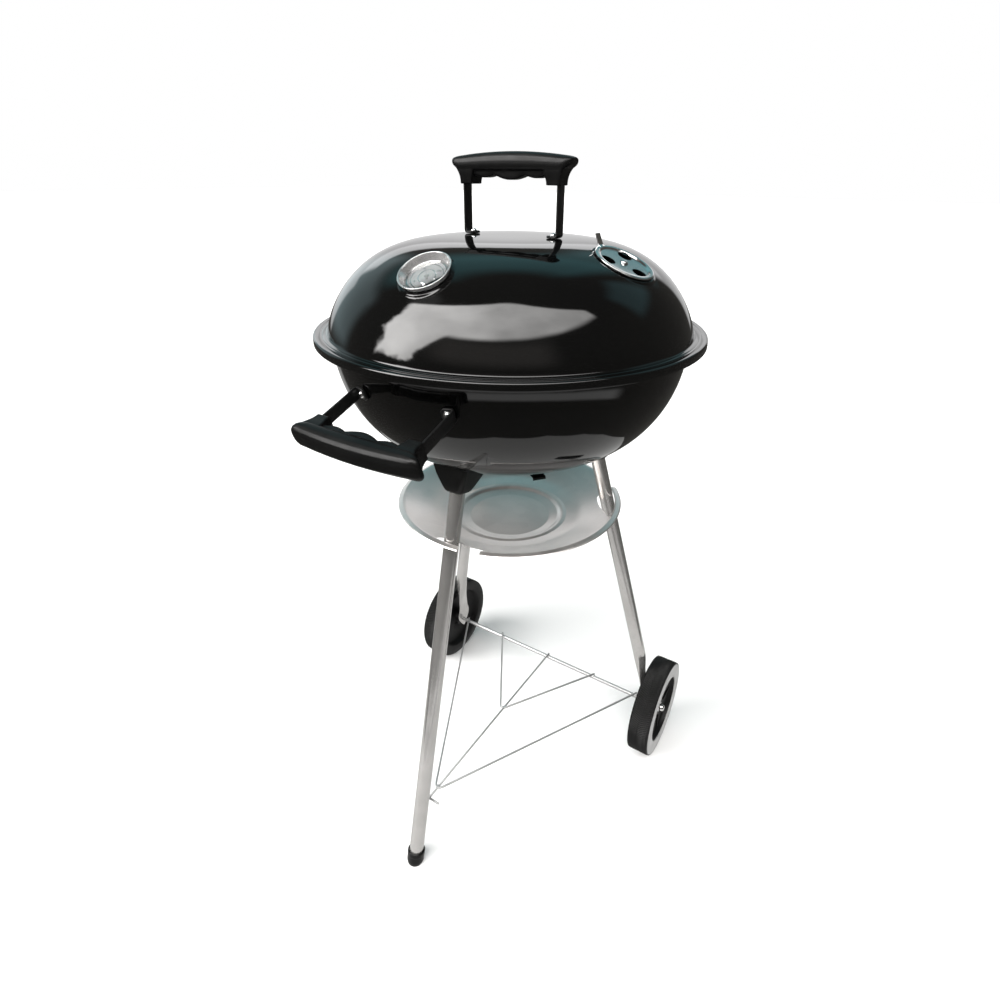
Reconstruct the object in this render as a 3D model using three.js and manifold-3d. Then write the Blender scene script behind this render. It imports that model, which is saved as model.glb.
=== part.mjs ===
// Kettle charcoal grill on three legs, two of them on a wheeled axle. Millimetres, +Z up, floor at z = 0.
// While the parts are made the kettle's axis is x = y = 0, the plain leg and the side handle are towards -Y
// and the axle runs along X; at the end the whole grill is moved so that its bounding box is centred.
import * as THREE from "three";
import { mergeVertices } from "three/addons/utils/BufferGeometryUtils.js";
import Module from "manifold-3d";

const wasm = await Module();
wasm.setup();
const degrees = THREE.MathUtils.degToRad;

// ---------- driving dimensions ----------
const GAP = 0.3; // clearance between separate pieces that touch
const FACET_GAP = 1.1; // the same, where a piece sits against the flats of a turned shell

const sheet = 1.2; // steel of the lid and the bowl
const flange = { radius: 230, top: 698.3, lip: 9, rootRadius: 217.6 };
const dome = { radius: 214.8, base: 697.9, height: 101.4, side: 4.269, top: 1.95, taper: 0.209 };
const bowl = { radius: 210.3, base: 689.6, depth: 151, side: 3.009, bottom: 1.982, rimRadius: 226 };

const grip = {
  halfWidth: 77, height: 33.5, endDrop: 5.5, endUnderside: 20, depth: 26, // the bar
  armDepth: 21, armInside: 48, armOutside: 64.5, // the arms that hold the straps
  cusp: 9.7, lobeEnds: [20, 47], lobeDrops: [5.7, 3.4], // finger lobes under the bar
};
const strap = { thickness: 2.5, width: 14, outside: 62.3, foot: 15, standOff: 53.8, tuck: 13 };
const handleBolt = { radius: 2.5, offset: 53.5, headRadius: 4.3, head: 3, nut: 4, nutSeat: 5.2, length: 10 };
const sideHandleHeight = 659.4;
const sideHandleAzimuth = degrees(-88.8);
const sideHandleTilt = degrees(18.8); // below level

// Both stand on a flat seat pressed into the lid; heights are above the lid's curve at the seat's middle.
const gauge = {
  distance: 160, azimuth: degrees(-88.5), seatRadius: 28.7, seat: -1.5,
  radius: 27.5, rise: 5, base: 24.6, body: 22.6, throat: 21.3, wall: 1.2, floor: -4.4, // the cup
  stem: 3.1, stemLength: 55, nut: 4,
};
const vent = {
  distance: 146.5, azimuth: degrees(-5.7), seatRadius: 35.6, seat: -3,
  discRadius: 33, tabLength: 12, tabWidth: 10,
};
const ventHole = { radius: 8, circle: 20 };
const ventTabTilt = degrees(42);
const rivet = { radius: 2.2, headRadius: 4.2, head: 1.6 };
const bowlVent = {
  holeRadius: 15, circle: 34, disc: 58, thickness: 1.2, tabReach: 102, tabWidth: 16, tabDrop: 3.5,
  azimuth: degrees(-38), closedBy: degrees(30),
};

const tube = { radius: 9.5, wall: 1 };
const legTop = { radius: 116.4, height: 520.4 };
const footRadius = 237.5; // where the front leg's axis meets the floor
const rearAzimuth = degrees(32.3);
const socket = { mouth: 25, top: 48, bottomCut: 7, height: 46, grip: 22, boltLength: 8 };
const footCap = { radius: 11.3, height: 19, floor: 4 };

const wheel = { radius: 75, width: 33, x: 203, hub: 42, dish: 9, bore: 3.3 };
const axle = { radius: 3, reach: 231.6, halfLength: 213 };
axle.y = axle.reach * Math.sin(rearAzimuth);
const paddle = { x: 181.5, thickness: 2.6, width: 32, tip: 13, flatFrom: 34, roundFrom: 92 };

const wire = 1.5; // radius of the rack's wires
const rack = { outerX: 171, innerX: 94, innerY: -24, outerY: -190, frontHeight: 84, skew: 5, stopHalf: 15 };

const pan = {
  radius: 150.5, height: 464, thickness: 0.9, rim: 6.5, rimDrop: 1.4, dish: 27, bead: 73, wellDepth: 6,
};
// The edge of a slot in the pan as [radius, degrees from its leg]: round the leg, then the opening and hook.
const slotTail = [
  [121.4, 4], [125, 5.9], [129.4, 8.5], [130.4, 15.3], [133.6, 19.2], [138.5, 19.9], [144, 18.5],
];
const rearSlot = {
  from: -24,
  inside: [[137.5, -24], [133, -19.7], [127.4, -14.5], [123, -9.2], [120.8, -4], [120.6, 0], ...slotTail],
};
const frontSlot = { from: -7.2, inside: [[132, -7.4], [124, -6.4], [120.6, -3], [120.6, 0], ...slotTail] };
const slotArm = { radius: 142.2, tip: 7.5 };
const grateWire = 2.5;
const cookingGrate = { radius: 196, height: 676, pitch: 30, barRadius: 2 };
const charcoalGrate = { seat: 158, pitch: 34, barRadius: 2 };
const bracketAzimuths = [degrees(-30), degrees(90), degrees(210)];

const ROUND = 36; // facets round the lid, the bowl and the pan
const SMALL = 12; // facets round small turned pieces

// ---------- materials ----------
const finish = (color, roughness, metalness) =>
  new THREE.MeshStandardMaterial({ color, roughness, metalness });
const finishes = {
  enamel: () => finish("#0b0c0d", 0.12, 0),
  plastic: () => finish("#16171a", 0.55, 0),
  blackSteel: () => finish("#121314", 0.4, 0.5),
  steelTube: () => finish("#a9a7a2", 0.35, 1),
  chrome: () => finish("#d9dcdd", 0.12, 1),
  galvanised: () => finish("#a5a7a8", 0.42, 1),
  wheelPlastic: () => finish("#131415", 0.6, 0),
  ringPlastic: () => finish("#9fa3a4", 0.5, 0),
  glass: () => finish("#e8eef0", 0.05, 0),
  dialPaint: () => finish("#d8d8d4", 0.5, 0),
  pointerPaint: () => finish("#8d8a86", 0.5, 0),
};

// ---------- solids: three.js geometry in and out of manifold-3d ----------
function manifoldOf(positions, triVerts) {
  return new wasm.Manifold(new wasm.Mesh({ numProp: 3, vertProperties: positions, triVerts }));
}

function solid(geometry, matrix = new THREE.Matrix4()) {
  const bare = geometry.clone().applyMatrix4(matrix);
  bare.deleteAttribute("normal");
  bare.deleteAttribute("uv");
  const merged = mergeVertices(bare, 1e-4);
  const positions = merged.attributes.position.array;
  const faces = new Uint32Array(merged.index.array);
  const made = manifoldOf(positions, faces);
  return made.volume() >= 0 ? made : manifoldOf(positions, faces.reverse());
}

function geometryOf(shape) {
  const { numProp, numVert, vertProperties, triVerts } = shape.getMesh();
  const positions = new Float32Array(numVert * 3);
  for (let i = 0; i < numVert; i++) {
    positions.set(vertProperties.subarray(i * numProp, i * numProp + 3), i * 3);
  }
  const geometry = new THREE.BufferGeometry();
  geometry.setAttribute("position", new THREE.BufferAttribute(positions, 3));
  geometry.setIndex(new THREE.BufferAttribute(triVerts, 1));
  geometry.computeVertexNormals();
  return geometry;
}

const kettle = new THREE.Group();
const lid = new THREE.Group();
kettle.add(lid);

function piece(name, shape, material, parent = kettle) {
  const mesh = new THREE.Mesh(geometryOf(shape), material);
  mesh.name = name;
  parent.add(mesh);
}

const shift = (x, y, z) => new THREE.Matrix4().makeTranslation(x, y, z);
const turnX = (angle) => new THREE.Matrix4().makeRotationX(angle);
const turnY = (angle) => new THREE.Matrix4().makeRotationY(angle);
const turnZ = (angle) => new THREE.Matrix4().makeRotationZ(angle);
const chain = (...matrices) => matrices.reduce((all, next) => all.clone().multiply(next));
const placed = (shape, ...matrices) => shape.transform(chain(...matrices).elements);
const joined = (shapes) => shapes.reduce((all, next) => all.add(next));

// A frame whose +Z is `up` and whose +X is as near to `side` as it can be.
function frameAt(origin, up, side) {
  const z = up.clone().normalize();
  const y = z.clone().cross(side).normalize();
  return new THREE.Matrix4().makeBasis(y.clone().cross(z), y, z).setPosition(origin);
}

// A turned piece about +Z, from points [radius, height].
function turned(points, facets = SMALL) {
  const profile = points.map(([r, z]) => new THREE.Vector2(r, z));
  return solid(new THREE.LatheGeometry(profile, facets), turnX(Math.PI / 2));
}
const rod = (radius, from, to, facets = SMALL) =>
  turned([[0, from], [radius, from], [radius, to], [0, to]], facets);
const ring = (inside, outside, from, to, facets = SMALL) =>
  turned([[inside, from], [outside, from], [outside, to], [inside, to], [inside, from]], facets);
const block = (x, y, z) => solid(new THREE.BoxGeometry(x, y, z));
// The middle of a block at (x, y, z).
const blockAt = (size, at) => placed(block(...size), shift(...at));

// A flat outline in X and Y, thickened along +Z, its edges eased by `bevel`.
function plate(outline, thickness, bevel = 0) {
  const depth = thickness - 2 * bevel;
  const edges = { bevelThickness: bevel, bevelSize: bevel, bevelOffset: -bevel, bevelSegments: 2 };
  const options = { depth, curveSegments: 8, bevelEnabled: bevel > 0, ...edges };
  return solid(new THREE.ExtrudeGeometry(outline, options), shift(0, 0, bevel));
}

const vector = (x, y, z) => new THREE.Vector3(x, y, z);
function wireAlong(path, radius, steps) {
  const section = new THREE.Shape();
  section.absarc(0, 0, radius, 0, 2 * Math.PI);
  return solid(new THREE.ExtrudeGeometry(section, { steps, extrudePath: path, curveSegments: 3 }));
}
const straightWire = (from, to, radius = wire) => wireAlong(new THREE.LineCurve3(from, to), radius, 1);

// A wire from one point to another by way of a corner that is rounded over `bend`.
function bentWire(from, corner, to, bend, radius = wire) {
  const towards = (end, distance) => corner.clone().add(end.clone().sub(corner).setLength(distance));
  const overlap = 0.5;
  const curve = new THREE.QuadraticBezierCurve3(towards(from, bend), corner, towards(to, bend));
  return joined([
    straightWire(from, towards(from, bend - overlap), radius),
    wireAlong(curve, radius, 5),
    straightWire(towards(to, bend - overlap), to, radius),
  ]);
}

// Rings of points joined in order, both ends closed.
function loft(rings) {
  const count = rings[0].length;
  const faces = [];
  for (let r = 0; r + 1 < rings.length; r++) {
    for (let i = 0; i < count; i++) {
      const a = r * count + i;
      const b = r * count + ((i + 1) % count);
      faces.push(a, b, b + count, a, b + count, a + count);
    }
  }
  const last = (rings.length - 1) * count;
  for (let i = 1; i + 1 < count; i++) faces.push(0, i + 1, i, last, last + i, last + i + 1);
  const geometry = new THREE.BufferGeometry().setFromPoints(rings.flat());
  geometry.setIndex(faces);
  return solid(geometry);
}

// ---------- profiles of the lid and the bowl ----------
const spread = (count, from, to) =>
  Array.from({ length: count }, (_, i) => from + ((to - from) * i) / (count - 1));

function domePoint(angle) {
  const height = dome.height * Math.sin(angle) ** (2 / dome.top);
  const share = Math.cos(angle) ** (2 / dome.side);
  return [share * (dome.radius - dome.taper * height), dome.base + height];
}
function bowlPoint(angle) {
  return [
    bowl.radius * Math.cos(angle) ** (2 / bowl.side),
    bowl.base - bowl.depth * Math.sin(angle) ** (2 / bowl.bottom),
  ];
}

// The lid's outside from its lip to its top, and the bowl's from its bottom to its rim.
const lidProfile = [
  [flange.radius, flange.top - flange.lip],
  [flange.radius, flange.top - 2.6],
  [flange.radius - 0.9, flange.top - 0.7],
  [flange.radius - 3, flange.top],
  [flange.rootRadius, flange.top],
  [flange.rootRadius - 2, flange.top + 1.6],
  ...spread(9, 0.05, 1.5).map(domePoint),
  [0, dome.base + dome.height],
];
const bowlRim = flange.top - sheet - GAP;
const bowlProfile = [
  [0, bowl.base - bowl.depth],
  ...spread(9, 1.5, 0.08).map(bowlPoint),
  [bowl.radius, bowlRim - sheet - 2],
  [bowl.radius + 2, bowlRim - sheet],
  [bowl.rimRadius, bowlRim - sheet],
];

// A profile moved to its left by a distance.
function moved(points, distance) {
  return points.map(([r, z], i) => {
    const before = points[Math.max(i - 1, 0)];
    const after = points[Math.min(i + 1, points.length - 1)];
    const along = new THREE.Vector2(after[0] - before[0], after[1] - before[1]).normalize();
    if (r === 0) return [0, z + Math.sign(along.x) * distance];
    return [r - along.y * distance, z + along.x * distance];
  });
}

// What a profile encloses, closed off level with its open end.
function filled(points) {
  const open = points[0][0] === 0 ? points.at(-1) : points[0];
  const loop = points[0][0] === 0 ? [...points, [0, open[1]]] : [[0, open[1]], ...points];
  return turned(loop, ROUND);
}

// Where the outside of a shell is at a distance from the axis.
function onShell(point, distance, azimuth) {
  let low = 0;
  let high = Math.PI / 2;
  for (let i = 0; i < 50; i++) {
    const middle = (low + high) / 2;
    if (point(middle)[0] > distance) low = middle;
    else high = middle;
  }
  const here = point(low);
  const next = point(low + 1e-4);
  const slope = new THREE.Vector2(next[0] - here[0], next[1] - here[1]).normalize();
  const facing = Math.sign(slope.y);
  const side = vector(Math.cos(azimuth), Math.sin(azimuth), 0);
  const origin = side.clone().multiplyScalar(here[0]).setZ(here[1]);
  const normal = side.clone().multiplyScalar(slope.y * facing).setZ(-slope.x * facing);
  return { origin, normal, side, radius: here[0], height: here[1] };
}

// ---------- handles: one grip on two straps, used on the lid and on the bowl ----------
const mirrored = (points) => [...points, ...points.map(([x, y]) => [-x, y]).reverse()];

// Height of the bar's underside: three finger lobes, then the arms, then the flared ends.
function gripUnderside(x) {
  const { cusp, lobeEnds, lobeDrops, armOutside, halfWidth, endUnderside } = grip;
  const across = Math.abs(x);
  if (across < lobeEnds[0]) return cusp - lobeDrops[0] * Math.cos((Math.PI / 2) * (across / lobeEnds[0]));
  if (across < lobeEnds[1]) {
    const share = (across - lobeEnds[0]) / (lobeEnds[1] - lobeEnds[0]);
    return cusp - lobeDrops[1] * Math.sin(Math.PI * share);
  }
  const flare = Math.max(0, (across - armOutside) / (halfWidth - armOutside));
  return cusp + (endUnderside - cusp) * Math.sqrt(flare);
}

// The bar is rounded sections across X, joined end to end.
function gripBar() {
  const { halfWidth, height, endDrop, depth } = grip;
  const places = [0, 7, 14, 20, 26, 33.5, 41, 47, 64.5, 67.5, 72, 75.5, halfWidth];
  const count = 12;
  const section = (x) => {
    const top = height - endDrop * (x / halfWidth) ** 2;
    const under = gripUnderside(x);
    const nearEnd = Math.max(0, (Math.abs(x) - halfWidth + 5) / 5);
    const ease = 1 - 0.25 * nearEnd ** 2;
    return Array.from({ length: count }, (_, i) => {
      const angle = (2 * Math.PI * i) / count;
      const squared = (value) => Math.sign(value) * Math.abs(value) ** 0.62;
      const up = (top - under) / 2;
      const across = (depth / 2) * ease * squared(Math.cos(angle));
      return vector(x, across, under + up + up * ease * squared(Math.sin(angle)));
    });
  };
  return loft([...places.slice(1).reverse().map((x) => -x), ...places].map(section));
}

// The grip stands in its own frame with its arms' ends at z = 0.
function gripSolid() {
  const armWidth = grip.armOutside - grip.armInside;
  const armMiddle = (grip.armOutside + grip.armInside) / 2;
  const pocket = [strap.thickness + 2 * GAP, strap.width + 2 * GAP, strap.tuck + GAP];
  let made = gripBar();
  for (const side of [-1, 1]) {
    made = made.add(blockAt([armWidth, grip.armDepth, 16], [side * armMiddle, 0, 8]));
    const strapMiddle = side * (strap.outside - strap.thickness / 2);
    made = made.subtract(blockAt(pocket, [strapMiddle, 0, pocket[2] / 2 - 0.01]));
  }
  return made;
}

// A strap on the +X side: upright plate with its foot bent inwards at `footAngle` to the X axis.
function strapSolid(footAngle) {
  const { thickness, width, outside, foot, standOff, tuck } = strap;
  const inside = outside - thickness;
  const rise = (x) => (outside - x) * Math.tan(footAngle);
  const sole = thickness / Math.cos(footAngle);
  const tip = outside - foot;
  const outline = new THREE.Shape();
  outline.moveTo(outside, 0);
  outline.lineTo(outside, standOff + tuck);
  outline.lineTo(inside, standOff + tuck);
  outline.lineTo(inside, rise(inside) + sole);
  outline.lineTo(tip, rise(tip) + sole);
  outline.lineTo(tip, rise(tip));
  return placed(plate(outline, width), turnX(Math.PI / 2), shift(0, 0, -width / 2));
}

const hexagon = (radius, from, to) => rod(radius, from, to, 6);

// Adds a handle standing on +Z of the frame and returns the bolt holes that its shell needs.
function handle(name, frame, footAngle, parent) {
  const gripShape = placed(gripSolid(), frame, shift(0, 0, strap.standOff));
  piece(name + "_grip", gripShape, finishes.plastic(), parent);
  const holes = [];
  for (const [side, word] of [[-1, "left"], [1, "right"]]) {
    const mirror = new THREE.Matrix4().makeScale(side, 1, 1);
    const footRise = (strap.outside - handleBolt.offset) * Math.tan(footAngle);
    const boltFrame = chain(frame, mirror, shift(handleBolt.offset, 0, footRise), turnY(footAngle));
    const { radius, headRadius, head, nut, nutSeat, length } = handleBolt;
    const headFrom = strap.thickness + GAP;
    const clearance = rod(radius + GAP, -length, headFrom);
    const bolt = rod(radius, -length, headFrom + 0.1).add(hexagon(headRadius, headFrom, headFrom + head));
    const nutSolid = hexagon(headRadius, -nutSeat - nut, -nutSeat).subtract(clearance);
    const strapShape = placed(strapSolid(footAngle), frame, mirror);
    const strapPiece = strapShape.subtract(placed(clearance, boltFrame));
    piece(name + "_strap_" + word, strapPiece, finishes.blackSteel(), parent);
    piece(name + "_bolt_" + word, placed(bolt, boltFrame), finishes.chrome(), parent);
    piece(name + "_nut_" + word, placed(nutSolid, boltFrame), finishes.chrome(), parent);
    holes.push(placed(clearance, boltFrame));
  }
  return joined(holes);
}

// ---------- lid ----------
const ventSpot = onShell(domePoint, vent.distance, vent.azimuth);
const ventFrame = frameAt(ventSpot.origin, ventSpot.normal, ventSpot.side);
const gaugeSpot = onShell(domePoint, gauge.distance, gauge.azimuth);
const gaugeFrame = frameAt(gaugeSpot.origin, gaugeSpot.normal, vector(1, 0, 0));
const ventHoles = ({ radius, circle }) =>
  joined([0, 1, 2].map((i) => placed(rod(radius, -20, 20), turnZ(degrees(120 * i)), shift(circle, 0, 0))));

function lidShell(handleHoles) {
  // Flattens a filled dome at a seat: what stands above the seat goes, and what is missing below is filled.
  const flattened = (shape, { seat, seatRadius }, frame, inwards) => {
    const foot = seat - 12;
    const spreadRadius = seatRadius + 3 - inwards;
    const above = rod(seatRadius + inwards, seat - inwards, seat + 12, 24);
    const below = turned([[0, foot], [spreadRadius, foot], [seatRadius - inwards, seat - inwards],
      [0, seat - inwards]], 24);
    return shape.subtract(placed(above, frame)).add(placed(below, frame));
  };
  const pressed = (shape, inwards) =>
    flattened(flattened(shape, vent, ventFrame, inwards), gauge, gaugeFrame, inwards);
  const outside = pressed(filled(lidProfile), 0);
  const hollow = pressed(filled(moved(lidProfile, sheet)), sheet);
  const openings = joined([
    handleHoles,
    placed(ventHoles(ventHole), ventFrame),
    placed(rod(rivet.radius + GAP, -10, 10), ventFrame),
    placed(rod(gauge.body + GAP, -10, 10, 24), gaugeFrame),
  ]);
  return outside.subtract(hollow).subtract(openings);
}

const handleSpot = onShell(domePoint, strap.outside, 0);
const lidHandleFrame = shift(0, 0, handleSpot.height + GAP);
const lidFootAngle = degrees(1.5);
const lidHandleHoles = handle("lid_handle", lidHandleFrame, lidFootAngle, lid);
piece("lid_shell", lidShell(lidHandleHoles), finishes.enamel(), lid);

// ---------- lid vent ----------
const discFrom = vent.seat + GAP;
const discThickness = 1;

function ventDisc() {
  const tab = blockAt([vent.tabLength, vent.tabWidth, discThickness], [-vent.tabLength / 2, 0, 0]);
  const bend = [1 - vent.discRadius, 0, discFrom + discThickness / 2];
  const neck = blockAt([2, vent.tabWidth, discThickness], [1 - vent.discRadius, 0, bend[2]]);
  const disc = rod(vent.discRadius, discFrom, discFrom + discThickness, 24);
  const lip = ring(vent.discRadius - 2.5, vent.discRadius, discFrom, discFrom + 2, 24);
  const openings = ventHoles(ventHole).add(rod(rivet.radius + GAP, -10, 10));
  return joined([disc, lip, neck, placed(tab, shift(...bend), turnY(ventTabTilt))]).subtract(openings);
}
function ventRivet() {
  const headFrom = discFrom + discThickness + GAP;
  const tailTo = vent.seat - sheet - GAP;
  const { radius, headRadius, head } = rivet;
  return turned([[0, tailTo - head], [headRadius, tailTo - head], [headRadius, tailTo], [radius, tailTo],
    [radius, headFrom], [headRadius, headFrom], [headRadius * 0.7, headFrom + head], [0, headFrom + head]]);
}
piece("lid_vent_damper", placed(ventDisc(), ventFrame), finishes.galvanised(), lid);
piece("lid_vent_rivet", placed(ventRivet(), ventFrame), finishes.chrome(), lid);

// ---------- thermometer ----------
const dialTop = gauge.floor + 1.4;
const needle = { length: 17, tail: 5, width: 1.6, thickness: 0.5, height: dialTop + 0.5 };
const lensFrom = dialTop + 1.6;
const gaugeNutTop = gauge.seat - sheet - GAP;

// A cup that hangs through the lid by its shoulder.
function gaugeBezel() {
  const { radius, base, body, throat, rise, seat, wall, floor, stem } = gauge;
  return turned([[stem + GAP, floor - wall], [body, floor - wall], [body, seat + GAP], [base, seat + GAP],
    [radius, rise - 1.2], [radius - 0.6, rise], [radius - 1.6, rise], [radius - 2.4, rise - 1.4],
    [throat, lensFrom], [throat, floor], [stem + GAP, floor], [stem + GAP, floor - wall]], 24);
}
function gaugePointer() {
  const { length, tail, width, thickness, height } = needle;
  const pointerShape = new THREE.Shape();
  pointerShape.moveTo(0, length);
  pointerShape.lineTo(-width / 2, 0);
  pointerShape.lineTo(-width, -tail);
  pointerShape.lineTo(width, -tail);
  pointerShape.lineTo(width / 2, 0);
  const arbor = rod(1.1, dialTop - 0.6, height + 0.1).add(rod(2.4, height, height + 0.8));
  return placed(plate(pointerShape, thickness), shift(0, 0, height)).add(arbor);
}
const gaugePieces = [
  ["thermometer_bezel", gaugeBezel(), finishes.chrome()],
  ["thermometer_dial", ring(1.5, gauge.throat - 0.5, dialTop - 0.8, dialTop, 24), finishes.dialPaint()],
  ["thermometer_pointer", placed(gaugePointer(), turnZ(degrees(35))), finishes.pointerPaint()],
  ["thermometer_lens", rod(gauge.throat - 0.3, lensFrom, lensFrom + 1, 24), finishes.glass()],
  ["thermometer_stem", rod(gauge.stem, -gauge.stemLength, gauge.floor + 0.2), finishes.chrome()],
  ["thermometer_nut", ring(gauge.body + GAP, gauge.body + 4, gaugeNutTop - gauge.nut, gaugeNutTop, 24),
    finishes.chrome()],
];
for (const [name, shape, material] of gaugePieces) piece(name, placed(shape, gaugeFrame), material, lid);

// ---------- legs, sockets and foot ----------
const rearSlope = (axle.reach - legTop.radius) / (legTop.height - wheel.radius);
const frontSlope = (footRadius - legTop.radius) / legTop.height;
const legs = [
  { name: "front", azimuth: degrees(-90), slope: frontSlope },
  { name: "right", azimuth: rearAzimuth, slope: rearSlope },
  { name: "left", azimuth: Math.PI - rearAzimuth, slope: rearSlope },
];
const legRadiusAt = (leg, height) => legTop.radius + (legTop.height - height) * leg.slope;
const outwards = (leg) => vector(Math.cos(leg.azimuth), Math.sin(leg.azimuth), 0);
const onLeg = (leg, height) => outwards(leg).multiplyScalar(legRadiusAt(leg, height)).setZ(height);
// The leg's own frame at its socket's mouth: +Z up along the tube, +X outwards from the kettle.
for (const leg of legs) {
  leg.frame = frameAt(onLeg(leg, legTop.height), onLeg(leg, legTop.height).sub(onLeg(leg, 0)), outwards(leg));
}

const bowlSpace = filled([...moved(bowlProfile.slice(0, -2), -GAP), [bowl.radius + GAP, bowlRim]]);
const socketBoltSpot = (leg) => onShell(bowlPoint, legRadiusAt(leg, legTop.height + 30), leg.azimuth);
const socketBoltFrame = (leg) => {
  const spot = socketBoltSpot(leg);
  return frameAt(spot.origin, spot.normal.clone().negate(), spot.side);
};

function socketSolid(leg) {
  const square = (half, height, ease) =>
    mirrored([[half - ease, -half], [half, -half + ease], [half, half - ease], [half - ease, half]])
      .map(([x, y]) => vector(x, y, height));
  const { mouth, top, bottomCut, height, grip: depth } = socket;
  const body = loft([
    square(mouth / 2 - 3, 0, 3),
    square(mouth / 2 + 1, 2.5, 4),
    square(mouth / 2 + 3.5, bottomCut, 4),
    square(top / 2, height * 0.75, 4),
    square(top / 2, height, 4),
  ]);
  const bore = rod(tube.radius + GAP, -1, depth, 20);
  const boltHole = placed(rod(handleBolt.radius + GAP, -socket.boltLength - 1, 5), socketBoltFrame(leg));
  return placed(body.subtract(bore), leg.frame).subtract(bowlSpace).subtract(boltHole);
}
function socketBolt(leg) {
  const seat = sheet + 2 * FACET_GAP;
  const shape = rod(handleBolt.radius, -socket.boltLength, seat + 0.1).add(hexagon(5, seat, seat + 3));
  return placed(shape, socketBoltFrame(leg));
}
const legTopInSocket = socket.grip - 0.5;

function frontLeg(leg) {
  const length = onLeg(leg, legTop.height).distanceTo(onLeg(leg, footCap.floor + 3));
  const shell = placed(ring(tube.radius - tube.wall, tube.radius, -length, legTopInSocket, 24), leg.frame);
  const rackHole = placed(rod(wire + 0.6, 0, 20),
    shift(0, -legRadiusAt(leg, rack.frontHeight), rack.frontHeight),
    turnX(-Math.PI / 2));
  return shell.subtract(rackHole);
}

// Flattened at its foot into an upright paddle that the axle goes through.
function rearLeg(leg) {
  const count = 20;
  const side = Math.sign(Math.cos(leg.azimuth));
  const circle = (height) => spread(count + 1, 0, 2 * Math.PI).slice(0, count).map((angle) =>
    vector(tube.radius * Math.cos(angle + leg.azimuth), tube.radius * Math.sin(angle + leg.azimuth), height));
  const upright = turnZ(-leg.azimuth);
  const round = (height) => circle(height).map((p) => p.applyMatrix4(upright).applyMatrix4(leg.frame));
  const angles = spread(count + 1, 0, 2 * Math.PI).slice(0, count);
  const oval = (x, y, z, halfThickness, halfWidth) => angles.map((a) =>
    vector(x + halfThickness * Math.cos(a + leg.azimuth), y + halfWidth * Math.sin(a + leg.azimuth), z));
  const roundEnd = onLeg(leg, wheel.radius + paddle.roundFrom);
  const drop = onLeg(leg, legTop.height).distanceTo(roundEnd);
  const x = side * paddle.x;
  const half = [paddle.thickness / 2, paddle.width / 2];
  const middle = vector(x, axle.y, wheel.radius + paddle.flatFrom).add(roundEnd).multiplyScalar(0.5);
  const outer = loft([
    round(legTopInSocket),
    round(-drop),
    oval(middle.x, middle.y, middle.z, tube.radius * 0.58, tube.radius * 1.22),
    oval(x, axle.y, wheel.radius + paddle.flatFrom, ...half),
    oval(x, axle.y, wheel.radius, ...half),
    oval(x, axle.y, wheel.radius - paddle.tip * 0.6, half[0], half[1] * 0.7),
    oval(x, axle.y, wheel.radius - paddle.tip, half[0] * 0.8, half[1] * 0.25),
  ].reverse());
  const hollow = placed(rod(tube.radius - tube.wall, -drop, legTopInSocket + 1, count), leg.frame);
  const axleHole = placed(rod(axle.radius + GAP, -10, 10),
    shift(x, axle.y, wheel.radius), turnY(Math.PI / 2));
  return outer.subtract(hollow).subtract(axleHole);
}

function footCapSolid(leg) {
  const { radius, height, floor } = footCap;
  const tilted = placed(
    turned([[0, -4], [radius - 1.5, -4], [radius, 0], [radius, height],
      [tube.radius + GAP, height], [tube.radius + GAP, floor + 1], [0, floor + 1]], 24),
    frameAt(onLeg(leg, 0), onLeg(leg, legTop.height).sub(onLeg(leg, 0)), outwards(leg)),
  );
  return tilted.subtract(blockAt([80, 600, 40], [0, 0, -20]));
}

for (const leg of legs) {
  piece("leg_socket_" + leg.name, socketSolid(leg), finishes.plastic());
  piece("leg_socket_bolt_" + leg.name, socketBolt(leg), finishes.chrome());
  const made = leg.name === "front" ? frontLeg(leg) : rearLeg(leg);
  piece("leg_" + leg.name, made, finishes.steelTube());
}
piece("foot_cap", footCapSolid(legs[0]), finishes.plastic());

// ---------- axle and wheels ----------
const acrossAt = (x) => chain(shift(x, axle.y, wheel.radius), turnY(Math.PI / 2));
piece("axle", placed(rod(axle.radius, -axle.halfLength, axle.halfLength), acrossAt(0)), finishes.chrome());

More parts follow.
